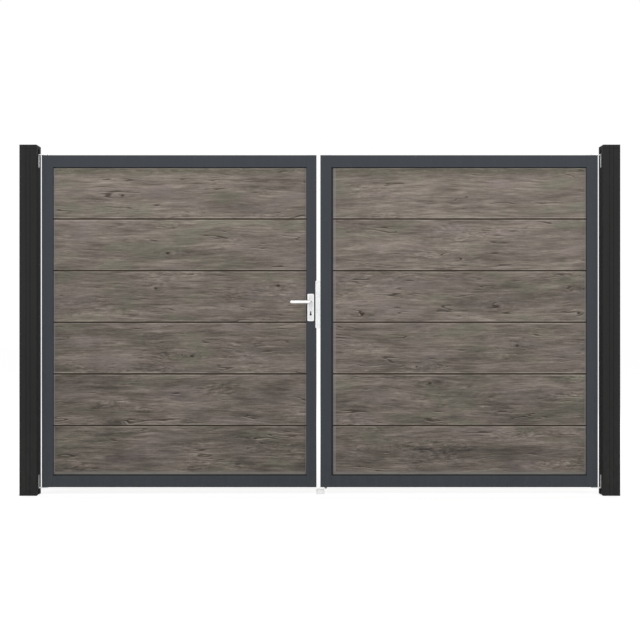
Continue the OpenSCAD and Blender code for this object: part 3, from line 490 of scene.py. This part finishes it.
# %% The colour and shade of the wood
OAK_STREAKS = [(0.30, (0.118, 0.094, 0.078)), (0.44, (0.186, 0.157, 0.132)),
               (0.56, (0.240, 0.204, 0.173)), (0.72, (0.345, 0.300, 0.258))]
OAK_MOSS = (0.186, 0.182, 0.136, 1)
OAK_MAUVE = (0.240, 0.198, 0.184, 1)


def wood_colour(group, layers):
    """Brown along the streaks, with patches of moss green and mauve."""
    brown = ramp(group, layers["streak"], OAK_STREAKS)
    moss = fit_range(group, layers["tint"], 0.54, 0.68, 0.0, 0.55)
    mauve = fit_range(group, layers["tint"], 0.47, 0.32, 0.0, 0.65)
    return blend(group, mauve, blend(group, moss, brown, OAK_MOSS), OAK_MAUVE)


def wood_shade(group, layers, wave, halo):
    """What darkens or lightens the wood, as one factor near 1."""
    shade = calc(group, "ADD", wave, 1.0)
    for factor in (fit_range(group, layers["band"], 0.32, 0.68, 0.79, 1.16),
                   fit_range(group, layers["patch"], 0.30, 0.52, 0.82, 1.08),
                   fit_range(group, layers["fibre"], 0.30, 0.70, 0.80, 1.20),
                   layers["pore"], fit_range(group, halo, 0.0, 1.0, 1.0, 0.86)):
        shade = calc(group, "MULTIPLY", shade, factor)
    return shade


print("brown runs through", len(OAK_STREAKS), "shades")

# %% [markdown]
# The group puts the parts together: knots, bent lines, layers, colour and shade, then cracks
# with their light lips, and at last the edges. Ripples, cracks and knots also go into the
# height, so that light from the side finds a relief.

# %% The oak group
# How strongly the pattern shows in the bottom row and in the top row
ROW_CONTRAST = (1.45, 0.80)
# What moves each board to a place of its own in the endless wood
SEED_STEP = (3.1, 1.7, 0.9)
SIDE_SEED = 11.7


def make_oak():
    """Inputs: place along and up a board from its lower left corner, row number and tone, and
    the places along it where its faded ends begin."""
    group, given, result = new_group("weathered_oak", [
        ("Vector", "Vector"), ("Row", "Float"), ("Tone", "Float"), ("Side", "Float"),
        ("Start", "Float"), ("Finish", "Float")])
    seed = calc(group, "ADD", given["Row"], calc(group, "MULTIPLY", given["Side"], SIDE_SEED))
    away = add(group, "VectorMath", {0: SEED_STEP, 3: seed}, operation="SCALE").outputs[0]
    seeded = moved(group, given["Vector"], away)
    axes = add(group, "SeparateXYZ", {0: seeded}).outputs
    knot, halo, slip = find_knots(group, axes["X"], axes["Z"])
    layers = wood_layers(group, seeded, bend_lines(group, seeded, slip), halo)

    wave = calc(group, "MULTIPLY", fit_range(group, layers["cluster"], 0.0, 1.0, 0.10, 0.40),
                fit_range(group, layers["ripple"], 0.32, 0.68, -1.0, 1.0))
    contrast = fit_range(group, given["Row"], 1.0, TOP_ROW, *ROW_CONTRAST)
    shade = calc(group, "POWER", wood_shade(group, layers, wave, halo), contrast)
    shade = calc(group, "MULTIPLY", shade, given["Tone"])
    colour = shaded(group, wood_colour(group, layers), shade)
    # The light colour on crack lips is a painted highlight; cracks and knots get their own dark
    # colour
    for mask, strength, paint in ((layers["lip"], 0.50, OAK_LIP_HIGHLIGHT),
                                  (layers["crack"], 0.72, OAK_CRACK_AND_SEAM_SHADE), (knot, 0.88, OAK_CRACK_AND_SEAM_SHADE)):
        colour = blend(group, calc(group, "MULTIPLY", mask, strength), colour, paint)
    colour = paint_edges(group, colour, given, layers["streak"], layers["ripple"])
    group.links.new(colour, result["Colour"])

    rough = fit_range(group, layers["fibre"], 0.3, 0.7, 0.84, 0.66)
    group.links.new(rough, result["Roughness"])
    height = calc(group, "ADD", calc(group, "MULTIPLY", layers["streak"], 0.5), layers["fibre"])
    height = calc(group, "ADD", height, calc(group, "MULTIPLY", wave, 1.2))
    for dip in (layers["crack"], calc(group, "MULTIPLY", knot, 0.6)):
        height = calc(group, "SUBTRACT", height, dip)
    group.links.new(height, result["Height"])
    return group


oak = make_oak()
print("oak group nodes:", len(oak.nodes))

# %% [markdown]
# Each board gets its own material, all from the one group. Its Mapping node brings the board's
# lower left corner to zero, so the seams and ends fall where they should, and the row number
# moves each board to another part of the endless tree.

# %% Put oak on the twelve boards
# Tone of each row from the ground up: the lower boards are darker, partly in their own tone and
# partly as painted shade of the light from above.
ROW_TONES = [0.74, 0.81, 0.86, 0.90, 0.98, 1.02]
# How much of each end is faded, from the hidden end of the board, in metres
FADED = {"left": (0.017, 0.015), "right": (0.032, 0.017)}

for side in ("left", "right"):
    for row, tone in enumerate(ROW_TONES, start=1):
        board = f"{side}_board_{row}"
        corner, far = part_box(board)
        values = {"Row": float(row), "Tone": tone, "Side": float(side == "right"),
                  "Start": FADED[side][0], "Finish": far.x - corner.x - FADED[side][1]}
        dress(board, finish_material(
            f"oak_{side}_{row}", oak, values, specular=0.25, bump=0.55, relief=0.0009,
            shift=(-corner.x, 0, -corner.z)))
print("oak boards dressed:", 2 * len(ROW_TONES))

# %% [markdown]
# ## Wear along edges
# Hands, tools and weather rub a coat away at its edges first. Nothing in a mesh says where an
# edge is, but the Bevel node can tell: it gives the normal that a rounded edge would have, and
# where that differs from the true one there is an edge. Noise breaks the line up, because wear
# is never even. The same mask serves coat, steel and zinc, so it is a group of its own.

# %% The edge wear group
# How well the two normals agree where wear begins, and where it is full
EDGE_AGREEMENT = (0.995, 0.90)
# Features per metre of the noise that breaks the line up
WEAR_BREAKS = (90.0, 90.0, 30.0)


def make_edges():
    """Inputs: place, and width of the worn edge. Output: a mask that is 1 on worn edges."""
    group, given, result = new_group("edge_wear", [("Vector", "Vector"), ("Width", "Float")],
                                     [("Mask", "Float")])
    rounded = add(group, "Bevel", {"Radius": given["Width"]}, samples=4)
    flat = add(group, "NewGeometry").outputs["Normal"]
    agree = add(group, "VectorMath", {0: rounded.outputs[0], 1: flat},
                operation="DOT_PRODUCT").outputs["Value"]
    edge = fit_range(group, agree, *EDGE_AGREEMENT, 0.0, 1.0)
    broken = fit_range(group, noise(group, given["Vector"], WEAR_BREAKS, 3.0, 0.6),
                       0.36, 0.60, 0.15, 1.0)
    group.links.new(calc(group, "MULTIPLY", edge, broken), result["Mask"])
    return group


edges = make_edges()


def worn(group, place, colour, bare, width, amount):
    """The colour with its edges rubbed towards the bare one."""
    mask = add(group, "Group", {"Vector": place, "Width": width}, node_tree=edges)
    return blend(group, calc(group, "MULTIPLY", mask.outputs["Mask"], amount), colour, bare)


print("edge group nodes:", len(edges.nodes))

# %% [markdown]
# ## Powder coat
# Posts and frames are aluminium under powder coat. Seen close, baked powder is not smooth: it
# has a fine orange peel. Seen from afar it shows slow clouds of tone, faint runs that rain
# leaves, and dust near the ground. One group gives all of these; the colour is its input.

# %% The powder coat group
DUST = (0.155, 0.145, 0.130, 1)
# Painted shade in the joint lines of a post
SEAM_SHADE_BLACK = (0.006, 0.006, 0.006, 1)
COAT_EDGE = 0.0012
# A post's middle, half of its slots' width, its joint with the cap, and how wide the painted shade
# of a joint is
post_low, post_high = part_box("right_post")
POST_X = (post_low.x + post_high.x) / 2
SLOT_HALF = 0.011
CAP_LINE = post_high.z
JOINT_WIDTHS = (0.0006, 0.0026)
# Dust lies thick at the ground and thins out up to this height
DUST_TOP = 0.45


def post_seams(group, place):
    """A mask for the painted shade in a post's joint lines: both edges of each slot, and under the
    cap.
    """
    axes = add(group, "SeparateXYZ", {0: place}).outputs
    across = calc(group, "ABSOLUTE", calc(group, "SUBTRACT", calc(group, "ABSOLUTE", axes["X"]),
                                          POST_X))
    mask = 0.0
    for size, line in ((across, SLOT_HALF), (calc(group, "ABSOLUTE", axes["Y"]), SLOT_HALF),
                       (axes["Z"], CAP_LINE)):
        off = calc(group, "ABSOLUTE", calc(group, "SUBTRACT", size, line))
        mask = calc(group, "MAXIMUM", fit_range(group, off, *JOINT_WIDTHS, 1.0, 0.0), mask)
    return mask


def make_powder():
    """Inputs: place, colours of coat and worn edge, how much dust, how strong the painted
    shade in the joint lines is, and roughness."""
    group, given, result = new_group("powder_coat", [
        ("Vector", "Vector"), ("Colour", "Color"), ("Bare", "Color"), ("Dust", "Float"),
        ("Joint_shade", "Float"), ("Sheen", "Float")])
    place = given["Vector"]
    peel = noise(group, place, (650.0, 650.0, 650.0), 1.0)
    cloud = noise(group, place, (2.5, 2.5, 2.0), 3.0)
    rain = noise(group, place, (28.0, 28.0, 0.9), 3.0, 0.6)
    shade = calc(group, "MULTIPLY", fit_range(group, cloud, 0.3, 0.7, 0.93, 1.07),
                 fit_range(group, peel, 0.3, 0.7, 0.93, 1.07))
    shade = calc(group, "MULTIPLY", shade, fit_range(group, rain, 0.35, 0.7, 0.97, 1.05))
    colour = shaded(group, given["Colour"], shade)
    colour = worn(group, place, colour, given["Bare"], COAT_EDGE, 0.5)
    # Painted shade along a post's joint lines
    seam_shade = calc(group, "MULTIPLY", post_seams(group, place), given["Joint_shade"])
    colour = blend(group, seam_shade, colour, SEAM_SHADE_BLACK)

    up = add(group, "SeparateXYZ", {0: place}).outputs["Z"]
    low = fit_range(group, up, 0.0, DUST_TOP, 1.0, 0.15)
    speckle = fit_range(group, noise(group, place, (45.0, 45.0, 18.0), 5.0, 0.7),
                        0.42, 0.72, 0.0, 1.0)
    settled = calc(group, "MULTIPLY", calc(group, "MULTIPLY", low, speckle), given["Dust"])
    group.links.new(blend(group, settled, colour, DUST), result["Colour"])
    rough = calc(group, "ADD", given["Sheen"], fit_range(group, cloud, 0.3, 0.7, -0.04, 0.04))
    rough = calc(group, "ADD", rough, calc(group, "MULTIPLY", settled, 0.5), clamp=True)
    group.links.new(rough, result["Roughness"])
    group.links.new(peel, result["Height"])
    return group


powder = make_powder()
print("powder group nodes:", len(powder.nodes))

# %% [markdown]
# The posts are nearly black and dull, and get a dark line of painted shade where a cover strip
# or the cap meets the post. The frames are anthracite and shine a little. The plugs in their ends
# are moulded in the same colour, but rougher. All three read the one group, so they age alike.

# %% Coat the posts and the frames
POST_BLACK = (0.0310, 0.0308, 0.0306, 1)
POST_WORN = (0.070, 0.070, 0.066, 1)
FRAME_GREY = (0.0440, 0.0505, 0.0590, 1)
FRAME_WORN = (0.130, 0.140, 0.150, 1)
post_coat = finish_material("coat_near_black", powder,
                            {"Colour": POST_BLACK, "Bare": POST_WORN, "Dust": 0.10,
                             "Joint_shade": 0.5, "Sheen": 0.82},
                            specular=0.05, bump=0.25, relief=0.0002)
frame_coat = finish_material("coat_anthracite", powder,
                             {"Colour": FRAME_GREY, "Bare": FRAME_WORN, "Dust": 0.14,
                              "Joint_shade": 0.0, "Sheen": 0.60},
                             specular=0.22, bump=0.25, relief=0.0002)
plug_coat = finish_material("plug_anthracite", powder,
                            {"Colour": FRAME_GREY, "Bare": FRAME_WORN, "Dust": 0.10,
                             "Joint_shade": 0.0, "Sheen": 0.66},
                            specular=0.22, bump=0.35, relief=0.0002)
for name in nodes:
    if name.startswith(("left_post", "right_post")):
        dress(name, post_coat)
    elif name.endswith(("stile", "rail")):
        dress(name, frame_coat)
    elif name.endswith("end_plugs"):
        dress(name, plug_coat)
print("powder coats:", post_coat.name, frame_coat.name, plug_coat.name)

# %% [markdown]
# ## Satin stainless steel
# The levers, their plates and the lock's bolts are brushed: a belt has drawn fine parallel lines
# over the metal, which widen the highlight across them. Noise with thousands of features a
# metre one way and a few the other gives these lines, as roughness and as a very low relief.

# %% The brushed steel group
POLISHED = (0.90, 0.90, 0.90, 1)
STEEL_EDGE = 0.0008


def make_brushed():
    """Inputs: place, colour of the metal, lines per metre on each axis, depth from the gate's
    middle at which the raised part begins, with painted shade on the sunk part, and roughness."""
    group, given, result = new_group("brushed_lines", [
        ("Vector", "Vector"), ("Colour", "Color"), ("Lines", "Vector"), ("Raised", "Float"),
        ("Sheen", "Float")])
    drawn = times(group, given["Vector"], given["Lines"])
    lines = add(group, "TexNoise", {"Vector": drawn, "Scale": 1.0, "Detail": 2.0}).outputs["Fac"]
    smudge = noise(group, given["Vector"], (38.0, 38.0, 38.0), 3.0)
    shade = calc(group, "MULTIPLY", fit_range(group, lines, 0.3, 0.7, 0.94, 1.04),
                 fit_range(group, smudge, 0.3, 0.7, 0.96, 1.03))
    # The sunk field of a handle plate gets painted shade
    deep = calc(group, "ABSOLUTE", add(group, "SeparateXYZ", {0: given["Vector"]}).outputs["Y"])
    raised = calc(group, "GREATER_THAN", deep, given["Raised"])
    shade = calc(group, "MULTIPLY", shade, fit_range(group, raised, 0.0, 1.0, 0.84, 1.0))
    colour = shaded(group, given["Colour"], shade)
    colour = worn(group, given["Vector"], colour, POLISHED, STEEL_EDGE, 0.6)
    group.links.new(colour, result["Colour"])
    rough = calc(group, "ADD", given["Sheen"], fit_range(group, lines, 0.3, 0.7, -0.06, 0.06))
    rough = calc(group, "ADD", rough, fit_range(group, smudge, 0.4, 0.7, 0.0, 0.07))
    group.links.new(rough, result["Roughness"])
    group.links.new(lines, result["Height"])
    return group


brushed = make_brushed()
print("brushed group nodes:", len(brushed.nodes))

# %% [markdown]
# The belt went along a lever and up a plate, so the lines do too. A plate's raised rim keeps its
# colour, and the field within it, which is sunk, gets painted shade. The spring's wire was drawn
# through a hole and never brushed, so its noise is the same on every axis, and its colour is
# darker.

# %% Put steel on the lock and the levers
SATIN = (0.76, 0.76, 0.765, 1)
# Features per metre of lines drawn along X, of lines drawn up, and of a wire without lines
ALONG_X = (60.0, 2200.0, 2200.0)
UPWARDS = (2200.0, 2200.0, 50.0)
DRAWN_WIRE = (900.0, 900.0, 900.0)
# Depth from the gate's middle at which the raised rim of a handle plate begins; the sunk field
# within it gets painted shade
RIM_DEPTH = 0.0290
# In place of that depth, this makes all of a piece raised, with no painted shade
ALL_RAISED = -1.0

lever_steel = finish_material("satin_lever", brushed, {
    "Colour": (0.93, 0.93, 0.93, 1), "Lines": ALONG_X, "Raised": ALL_RAISED, "Sheen": 0.36},
    metallic=0.85, bump=0.15, relief=0.0001)
plate_steel = finish_material("satin_plate", brushed, {
    "Colour": (0.84, 0.84, 0.845, 1), "Lines": UPWARDS, "Raised": RIM_DEPTH, "Sheen": 0.36},
    metallic=0.85, bump=0.15, relief=0.0001)
lock_steel = finish_material("satin_lock", brushed, {
    "Colour": SATIN, "Lines": UPWARDS, "Raised": ALL_RAISED, "Sheen": 0.34},
    metallic=1.0, bump=0.15, relief=0.0001)
for name in ("front_lever", "back_lever", "spindle"):
    dress(name, lever_steel)
for name in ("front_plate", "back_plate"):
    dress(name, plate_steel)
for name in ("lock_forend", "lock_screws", "latch_bolt", "dead_bolt", "follower"):
    dress(name, lock_steel)
spring_steel = finish_material("spring_wire", brushed, {
    "Colour": (0.46, 0.465, 0.48, 1), "Lines": DRAWN_WIRE, "Raised": ALL_RAISED, "Sheen": 0.30},
    metallic=1.0, bump=0.1, relief=0.0001)
print("brushed steels:", lever_steel.name, plate_steel.name, lock_steel.name,
      spring_steel.name)

# %% [markdown]
# ## Zinc
# Brackets, keeper, screws, the drop bolt and the floor stop carry zinc. Hot zinc freezes into
# flat crystals, called spangle, each with its own grey. A Voronoi texture is made of just such
# cells, so its cell colour becomes a small change of tone and of roughness. A bracket's leg in the
# slot of a post keeps the darker colour as painted shade, while its free arm is painted bright as
# if lit, so the group asks where, across the gate, the darker part begins.

# %% The zinc group
# Painted light on a bracket's free arm, and the colour of worn zinc edges
ZINC_BRIGHT = (0.90, 0.91, 0.91, 1)


def make_zinc():
    """Inputs: place, colour of the zinc, spangles per metre, distance from the gate's middle
    nearer which the zinc is painted bright as if lit and beyond which it keeps its colour as
    painted shade, and roughness."""
    group, given, result = new_group("zinc_spangle", [
        ("Vector", "Vector"), ("Colour", "Color"), ("Spangles", "Float"), ("Bright", "Float"),
        ("Sheen", "Float")])
    cells = add(group, "TexVoronoi", {"Vector": given["Vector"], "Scale": given["Spangles"]})
    tone = add(group, "SeparateColor", {0: cells.outputs["Color"]}).outputs[0]
    bloom = noise(group, given["Vector"], (26.0, 26.0, 26.0), 4.0, 0.6)
    shade = calc(group, "MULTIPLY", fit_range(group, tone, 0.0, 1.0, 0.92, 1.05),
                 fit_range(group, bloom, 0.3, 0.7, 0.92, 1.06))
    # On a bracket's free arm the zinc is painted bright as if lit; in the post's slot it keeps its
    # colour as painted shade
    across = calc(group, "ABSOLUTE", add(group, "SeparateXYZ", {0: given["Vector"]}).outputs["X"])
    free = calc(group, "LESS_THAN", across, given["Bright"])
    base = blend(group, free, given["Colour"], ZINC_BRIGHT)
    colour = shaded(group, base, shade)
    colour = worn(group, given["Vector"], colour, ZINC_BRIGHT, STEEL_EDGE, 0.4)
    group.links.new(colour, result["Colour"])
    rough = calc(group, "ADD", given["Sheen"], fit_range(group, tone, 0.0, 1.0, -0.07, 0.07))
    group.links.new(rough, result["Roughness"])
    grain = noise(group, given["Vector"], (420.0, 420.0, 420.0), 2.0)
    group.links.new(grain, result["Height"])
    return group


zinc = make_zinc()
print("zinc group nodes:", len(zinc.nodes))

# %% [markdown]
# The same metal comes in several finishes. Screws, pins and the drop bolt are plated, which
# leaves small spangles. The floor stop was dipped in a bath of zinc and is pale and rough, with
# large ones. The keeper is bright, and the corner blocks are cast, with a grain like sand.

# %% Put zinc on the fittings
# The brackets' legs, in painted shade, lie further out than this
BRACKET_LEG_X = post_low.x - 0.0025
ZINC_PLATED = ("pivot_pins", "bracket_screws", "bolt_guides", "meeting_stile_screws",
               "drop_bolt_rod", "drop_bolt_grip", "lock_case", "lock_cover")

zinc_plate = finish_material("zinc_plated", zinc, {
    "Colour": (0.30, 0.305, 0.31, 1), "Spangles": 210.0, "Bright": 0.0, "Sheen": 0.42},
    metallic=0.9, bump=0.2, relief=0.0002)
bracket_zinc = finish_material("bracket_zinc", zinc, {
    "Colour": (0.26, 0.265, 0.27, 1), "Spangles": 210.0, "Bright": BRACKET_LEG_X,
    "Sheen": 0.42}, metallic=0.8, bump=0.2, relief=0.0002)
keeper_zinc = finish_material("keeper_zinc", zinc, {
    "Colour": (0.80, 0.81, 0.81, 1), "Spangles": 260.0, "Bright": 0.0, "Sheen": 0.40},
    metallic=0.75, bump=0.2, relief=0.0002)
zinc_dip = finish_material("zinc_dipped", zinc, {
    "Colour": (0.97, 0.97, 0.96, 1), "Spangles": 120.0, "Bright": 0.0, "Sheen": 0.60},
    metallic=0.5, bump=0.5, relief=0.0004)
cast_alloy = finish_material("cast_zinc_alloy", zinc, {
    "Colour": (0.50, 0.51, 0.52, 1), "Spangles": 600.0, "Bright": 0.0, "Sheen": 0.58},
    metallic=0.85, bump=0.7, relief=0.0004)
for name in nodes:
    if name.endswith("bracket"):
        dress(name, bracket_zinc)
    elif name in ZINC_PLATED:
        dress(name, zinc_plate)
    elif name.endswith("corner_blocks"):
        dress(name, cast_alloy)
dress("floor_stop", zinc_dip)
for name in ("strike_keeper", "stop_plate"):
    dress(name, keeper_zinc)
print("zinc finishes:", zinc_plate.name, bracket_zinc.name, keeper_zinc.name, zinc_dip.name,
      cast_alloy.name)

# %% [markdown]
# ## Rubber
# The seals and the pivot bushes are black. Rubber left outdoors greys a little and unevenly,
# and its mould leaves a fine matt grain. A bush is harder plastic and keeps some shine.

# %% The rubber group
def make_rubber():
    """Inputs: place, colour, and roughness."""
    group, given, result = new_group("matt_rubber", [
        ("Vector", "Vector"), ("Colour", "Color"), ("Sheen", "Float")])
    bloom = noise(group, given["Vector"], (16.0, 16.0, 16.0), 4.0, 0.6)
    grain = noise(group, given["Vector"], (1400.0, 1400.0, 1400.0), 1.0)
    shade = calc(group, "MULTIPLY", fit_range(group, bloom, 0.3, 0.7, 0.8, 1.35),
                 fit_range(group, grain, 0.3, 0.7, 0.85, 1.15))
    group.links.new(shaded(group, given["Colour"], shade), result["Colour"])
    rough = calc(group, "ADD", given["Sheen"], fit_range(group, bloom, 0.3, 0.7, -0.05, 0.08))
    group.links.new(rough, result["Roughness"])
    group.links.new(grain, result["Height"])
    return group


rubber = make_rubber()
seal_black = finish_material("seal_rubber", rubber, {
    "Colour": (0.012, 0.012, 0.012, 1), "Sheen": 0.72}, bump=0.3, relief=0.0001)
bush_black = finish_material("bush_plastic", rubber, {
    "Colour": (0.018, 0.018, 0.019, 1), "Sheen": 0.42}, bump=0.15, relief=0.0001)
for name in ("left_pivot_bushes", "right_pivot_bushes"):
    dress(name, bush_black)
print("blacks:", seal_black.name, bush_black.name)

# %% [markdown]
# ## Rubber seals
# A seal closes the gap between boards and frame. The real one is a flat strip that is pushed
# under the frame's edge, with a bead along its free lip. The model holds a plain frame in its
# place. One face makes the whole ring: inset it, move the four inner corners to where each lip
# ends, and take the middle out.

# %% Lay a flat ring
# The strip's thickness, and how much of it lies under the frame's edge
SEAL_T = 0.0024
SEAL_ROOT = 0.005


def lay_ring(low, high, lips):
    """A flat ring in the box's outline; lips are its free widths left, right, below and above."""
    middle = (low + high) / 2
    left, right, bottom, top = (SEAL_ROOT + lip for lip in lips)
    bm = bmesh.new()
    bmesh.ops.create_grid(bm, x_segments=1, y_segments=1, size=0.5)
    bmesh.ops.rotate(bm, verts=bm.verts, matrix=Matrix.Rotation(math.radians(90), 3, "X"))
    bmesh.ops.scale(bm, verts=bm.verts, vec=(high.x - low.x, 1, high.z - low.z))
    bmesh.ops.translate(bm, verts=bm.verts, vec=(middle.x, low.y + SEAL_T, middle.z))
    ring = bmesh.ops.inset_region(bm, faces=bm.faces[:], thickness=SEAL_ROOT,
                                  use_boundary=True, use_even_offset=True)["faces"]
    panel = next(face for face in bm.faces if face not in ring)
    for corner in panel.verts:
        corner.co.x = low.x + left if corner.co.x < middle.x else high.x - right
        corner.co.z = low.z + bottom if corner.co.z < middle.z else high.z - top
    bmesh.ops.delete(bm, geom=[panel], context="FACES_ONLY")
    return bm


print("strip:", round(SEAL_T * 1000, 1), "mm thick,", round(SEAL_ROOT * 1000, 1), "mm hidden")

# %% [markdown]
# The ring is pulled forward by the strip's thickness. A second inset sinks it between its two
# beads, and a bevel rounds the lip, so that it catches a thin line of light as rubber does. A
# mirror then makes the back seal from the front one.

# %% Thicken the ring and round its lip
SEAL_BEAD = 0.0008
SEAL_SUNK = 0.0005


def thicken_ring(bm, low, high):
    """Makes two closed seals with beads and rounded lips out of a flat ring."""
    pulled = bmesh.ops.extrude_face_region(bm, geom=bm.faces[:])["geom"]
    front = [part for part in pulled if isinstance(part, bmesh.types.BMFace)]
    bmesh.ops.translate(bm, verts=[part for part in pulled if isinstance(part, bmesh.types.BMVert)],
                        vec=(0, -SEAL_T, 0))
    bmesh.ops.recalc_face_normals(bm, faces=bm.faces)
    lip = [edge for edge in {edge for face in front for edge in face.edges}
           if all(low.x + SEAL_ROOT < v.co.x < high.x - SEAL_ROOT
                  and low.z + SEAL_ROOT < v.co.z < high.z - SEAL_ROOT for v in edge.verts)]
    bmesh.ops.inset_region(bm, faces=front, thickness=SEAL_BEAD, depth=-SEAL_SUNK,
                           use_boundary=True, use_even_offset=True)
    bmesh.ops.bevel(bm, geom=lip, offset=SEAL_BEAD / 2, affect="EDGES", segments=3,
                    profile=0.5, material=-1)
    bmesh.ops.mirror(bm, geom=bm.verts[:] + bm.edges[:] + bm.faces[:], axis="Y",
                     merge_dist=0.00001)
    bmesh.ops.recalc_face_normals(bm, faces=bm.faces)


def make_piece(name, bm, material):
    """A finished bmesh as an object of one material."""
    print(name, "faces:", len(bm.faces),
          "open edges:", sum(not edge.is_manifold for edge in bm.edges))
    mesh = bpy.data.meshes.new(name)
    bm.to_mesh(mesh)
    bm.free()
    mesh.materials.append(material)
    piece = bpy.data.objects.new(name, mesh)
    bpy.context.scene.collection.objects.link(piece)
    return piece


print("bead:", round(SEAL_BEAD * 1000, 1), "mm")

# %% [markdown]
# Each leaf has its own pair of seals. Beside the meeting stile the right one has a wide lip, and
# along the bottom both lips are wider, where the boards stand on the rail. The pair takes the
# plain frame's place and rides on its leaf.

# %% Make the seals
# How far the lip stands out from the frame: at the left, the right, the bottom and the top
SEAL_LIPS = {"left": (0.001, 0.001, 0.0065, 0.001), "right": (0.010, 0.001, 0.0065, 0.001)}

for side, lips in SEAL_LIPS.items():
    low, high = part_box(f"{side}_gaskets")
    bm = lay_ring(low, high, lips)
    thicken_ring(bm, low, high)
    seal = make_piece(f"{side}_seals", bm, seal_black)
    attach(seal, f"{side}_leaf")
    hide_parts(f"{side}_gaskets")
    print(seal.name, "box:", [tuple(round(v, 4) for v in corner) for corner in
                              (seal.bound_box[0], seal.bound_box[6])], "m")

# %% [markdown]
# ## The latch spring
# A coil spring keeps the latch bolt out. It is wound from round wire, and at each end one turn
# lies against the next, so that the spring stands straight. Spin does the same as the winding
# machine: it turns a circle about an axis, and dvec moves it along a little at every step, less
# in the closed end turns than between them.

# %% Wind the latch spring
WIRE_R = 0.00035
WIRE_SIDES = 10
OPEN_TURNS = 6
STEPS_A_TURN = 24

low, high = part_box("latch_spring")
core = (low + high) / 2
length = high.x - low.x
coil_r = (high.z - low.z) / 2 - WIRE_R
closed_pitch = 2 * WIRE_R
open_pitch = (length - 2 * WIRE_R - 2 * closed_pitch) / OPEN_TURNS
start = Matrix.Translation((low.x + WIRE_R, core.y, core.z + coil_r))
bm = bmesh.new()
bmesh.ops.create_circle(bm, cap_ends=True, segments=WIRE_SIDES, radius=WIRE_R,
                        matrix=start @ Matrix.Rotation(math.radians(90), 4, "X"))
end = bm.faces[:] + bm.edges[:] + bm.verts[:]
for turns, pitch in ((1, closed_pitch), (OPEN_TURNS, open_pitch), (1, closed_pitch)):
    end = bmesh.ops.spin(bm, geom=end, cent=core, axis=(1, 0, 0), angle=turns * 2 * math.pi,
                         dvec=(pitch / STEPS_A_TURN, 0, 0),
                         steps=turns * STEPS_A_TURN)["geom_last"]
bmesh.ops.recalc_face_normals(bm, faces=bm.faces)
coil = make_piece("latch_coil", bm, spring_steel)
print("spring:", round(length * 1000, 2), "mm long")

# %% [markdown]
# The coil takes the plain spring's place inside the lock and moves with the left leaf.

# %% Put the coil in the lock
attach(coil, "left_leaf")
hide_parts("latch_spring")
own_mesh(coil)

# %% [markdown]
# ## The floor
# A plain pale floor takes the gate's shadow. For camera rays a little of its own light is
# added, so that it meets the white background with no line where they join.

# %% Lay the floor
FLOOR_HALF = 30.0
# The floor lies this far below the ground line, so that no foot shares a face with it
FLOOR_DROP = 0.0004
FLOOR_GLOW = 0.55

pale, ground = blank_material("floor_pale")
matt = add(ground, "BsdfDiffuse", {"Color": (0.80, 0.80, 0.80, 1)})
glow = add(ground, "Emission", {"Strength": calc(
    ground, "MULTIPLY", sees_background(ground), FLOOR_GLOW)})
both = add(ground, "AddShader", {0: matt.outputs[0], 1: glow.outputs[0]})
add(ground, "OutputMaterial", {"Surface": both.outputs[0]})

bm = bmesh.new()
bmesh.ops.create_grid(bm, x_segments=1, y_segments=1, size=FLOOR_HALF)
bmesh.ops.translate(bm, verts=bm.verts, vec=(0, 0, -FLOOR_DROP))
floor = make_piece("floor", bm, pale)
floor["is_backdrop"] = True
print("floor laid")

# %% Print the box with finishes
low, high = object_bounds()
print("box with finishes:", [round(v, 4) for v in (*low, *high)])
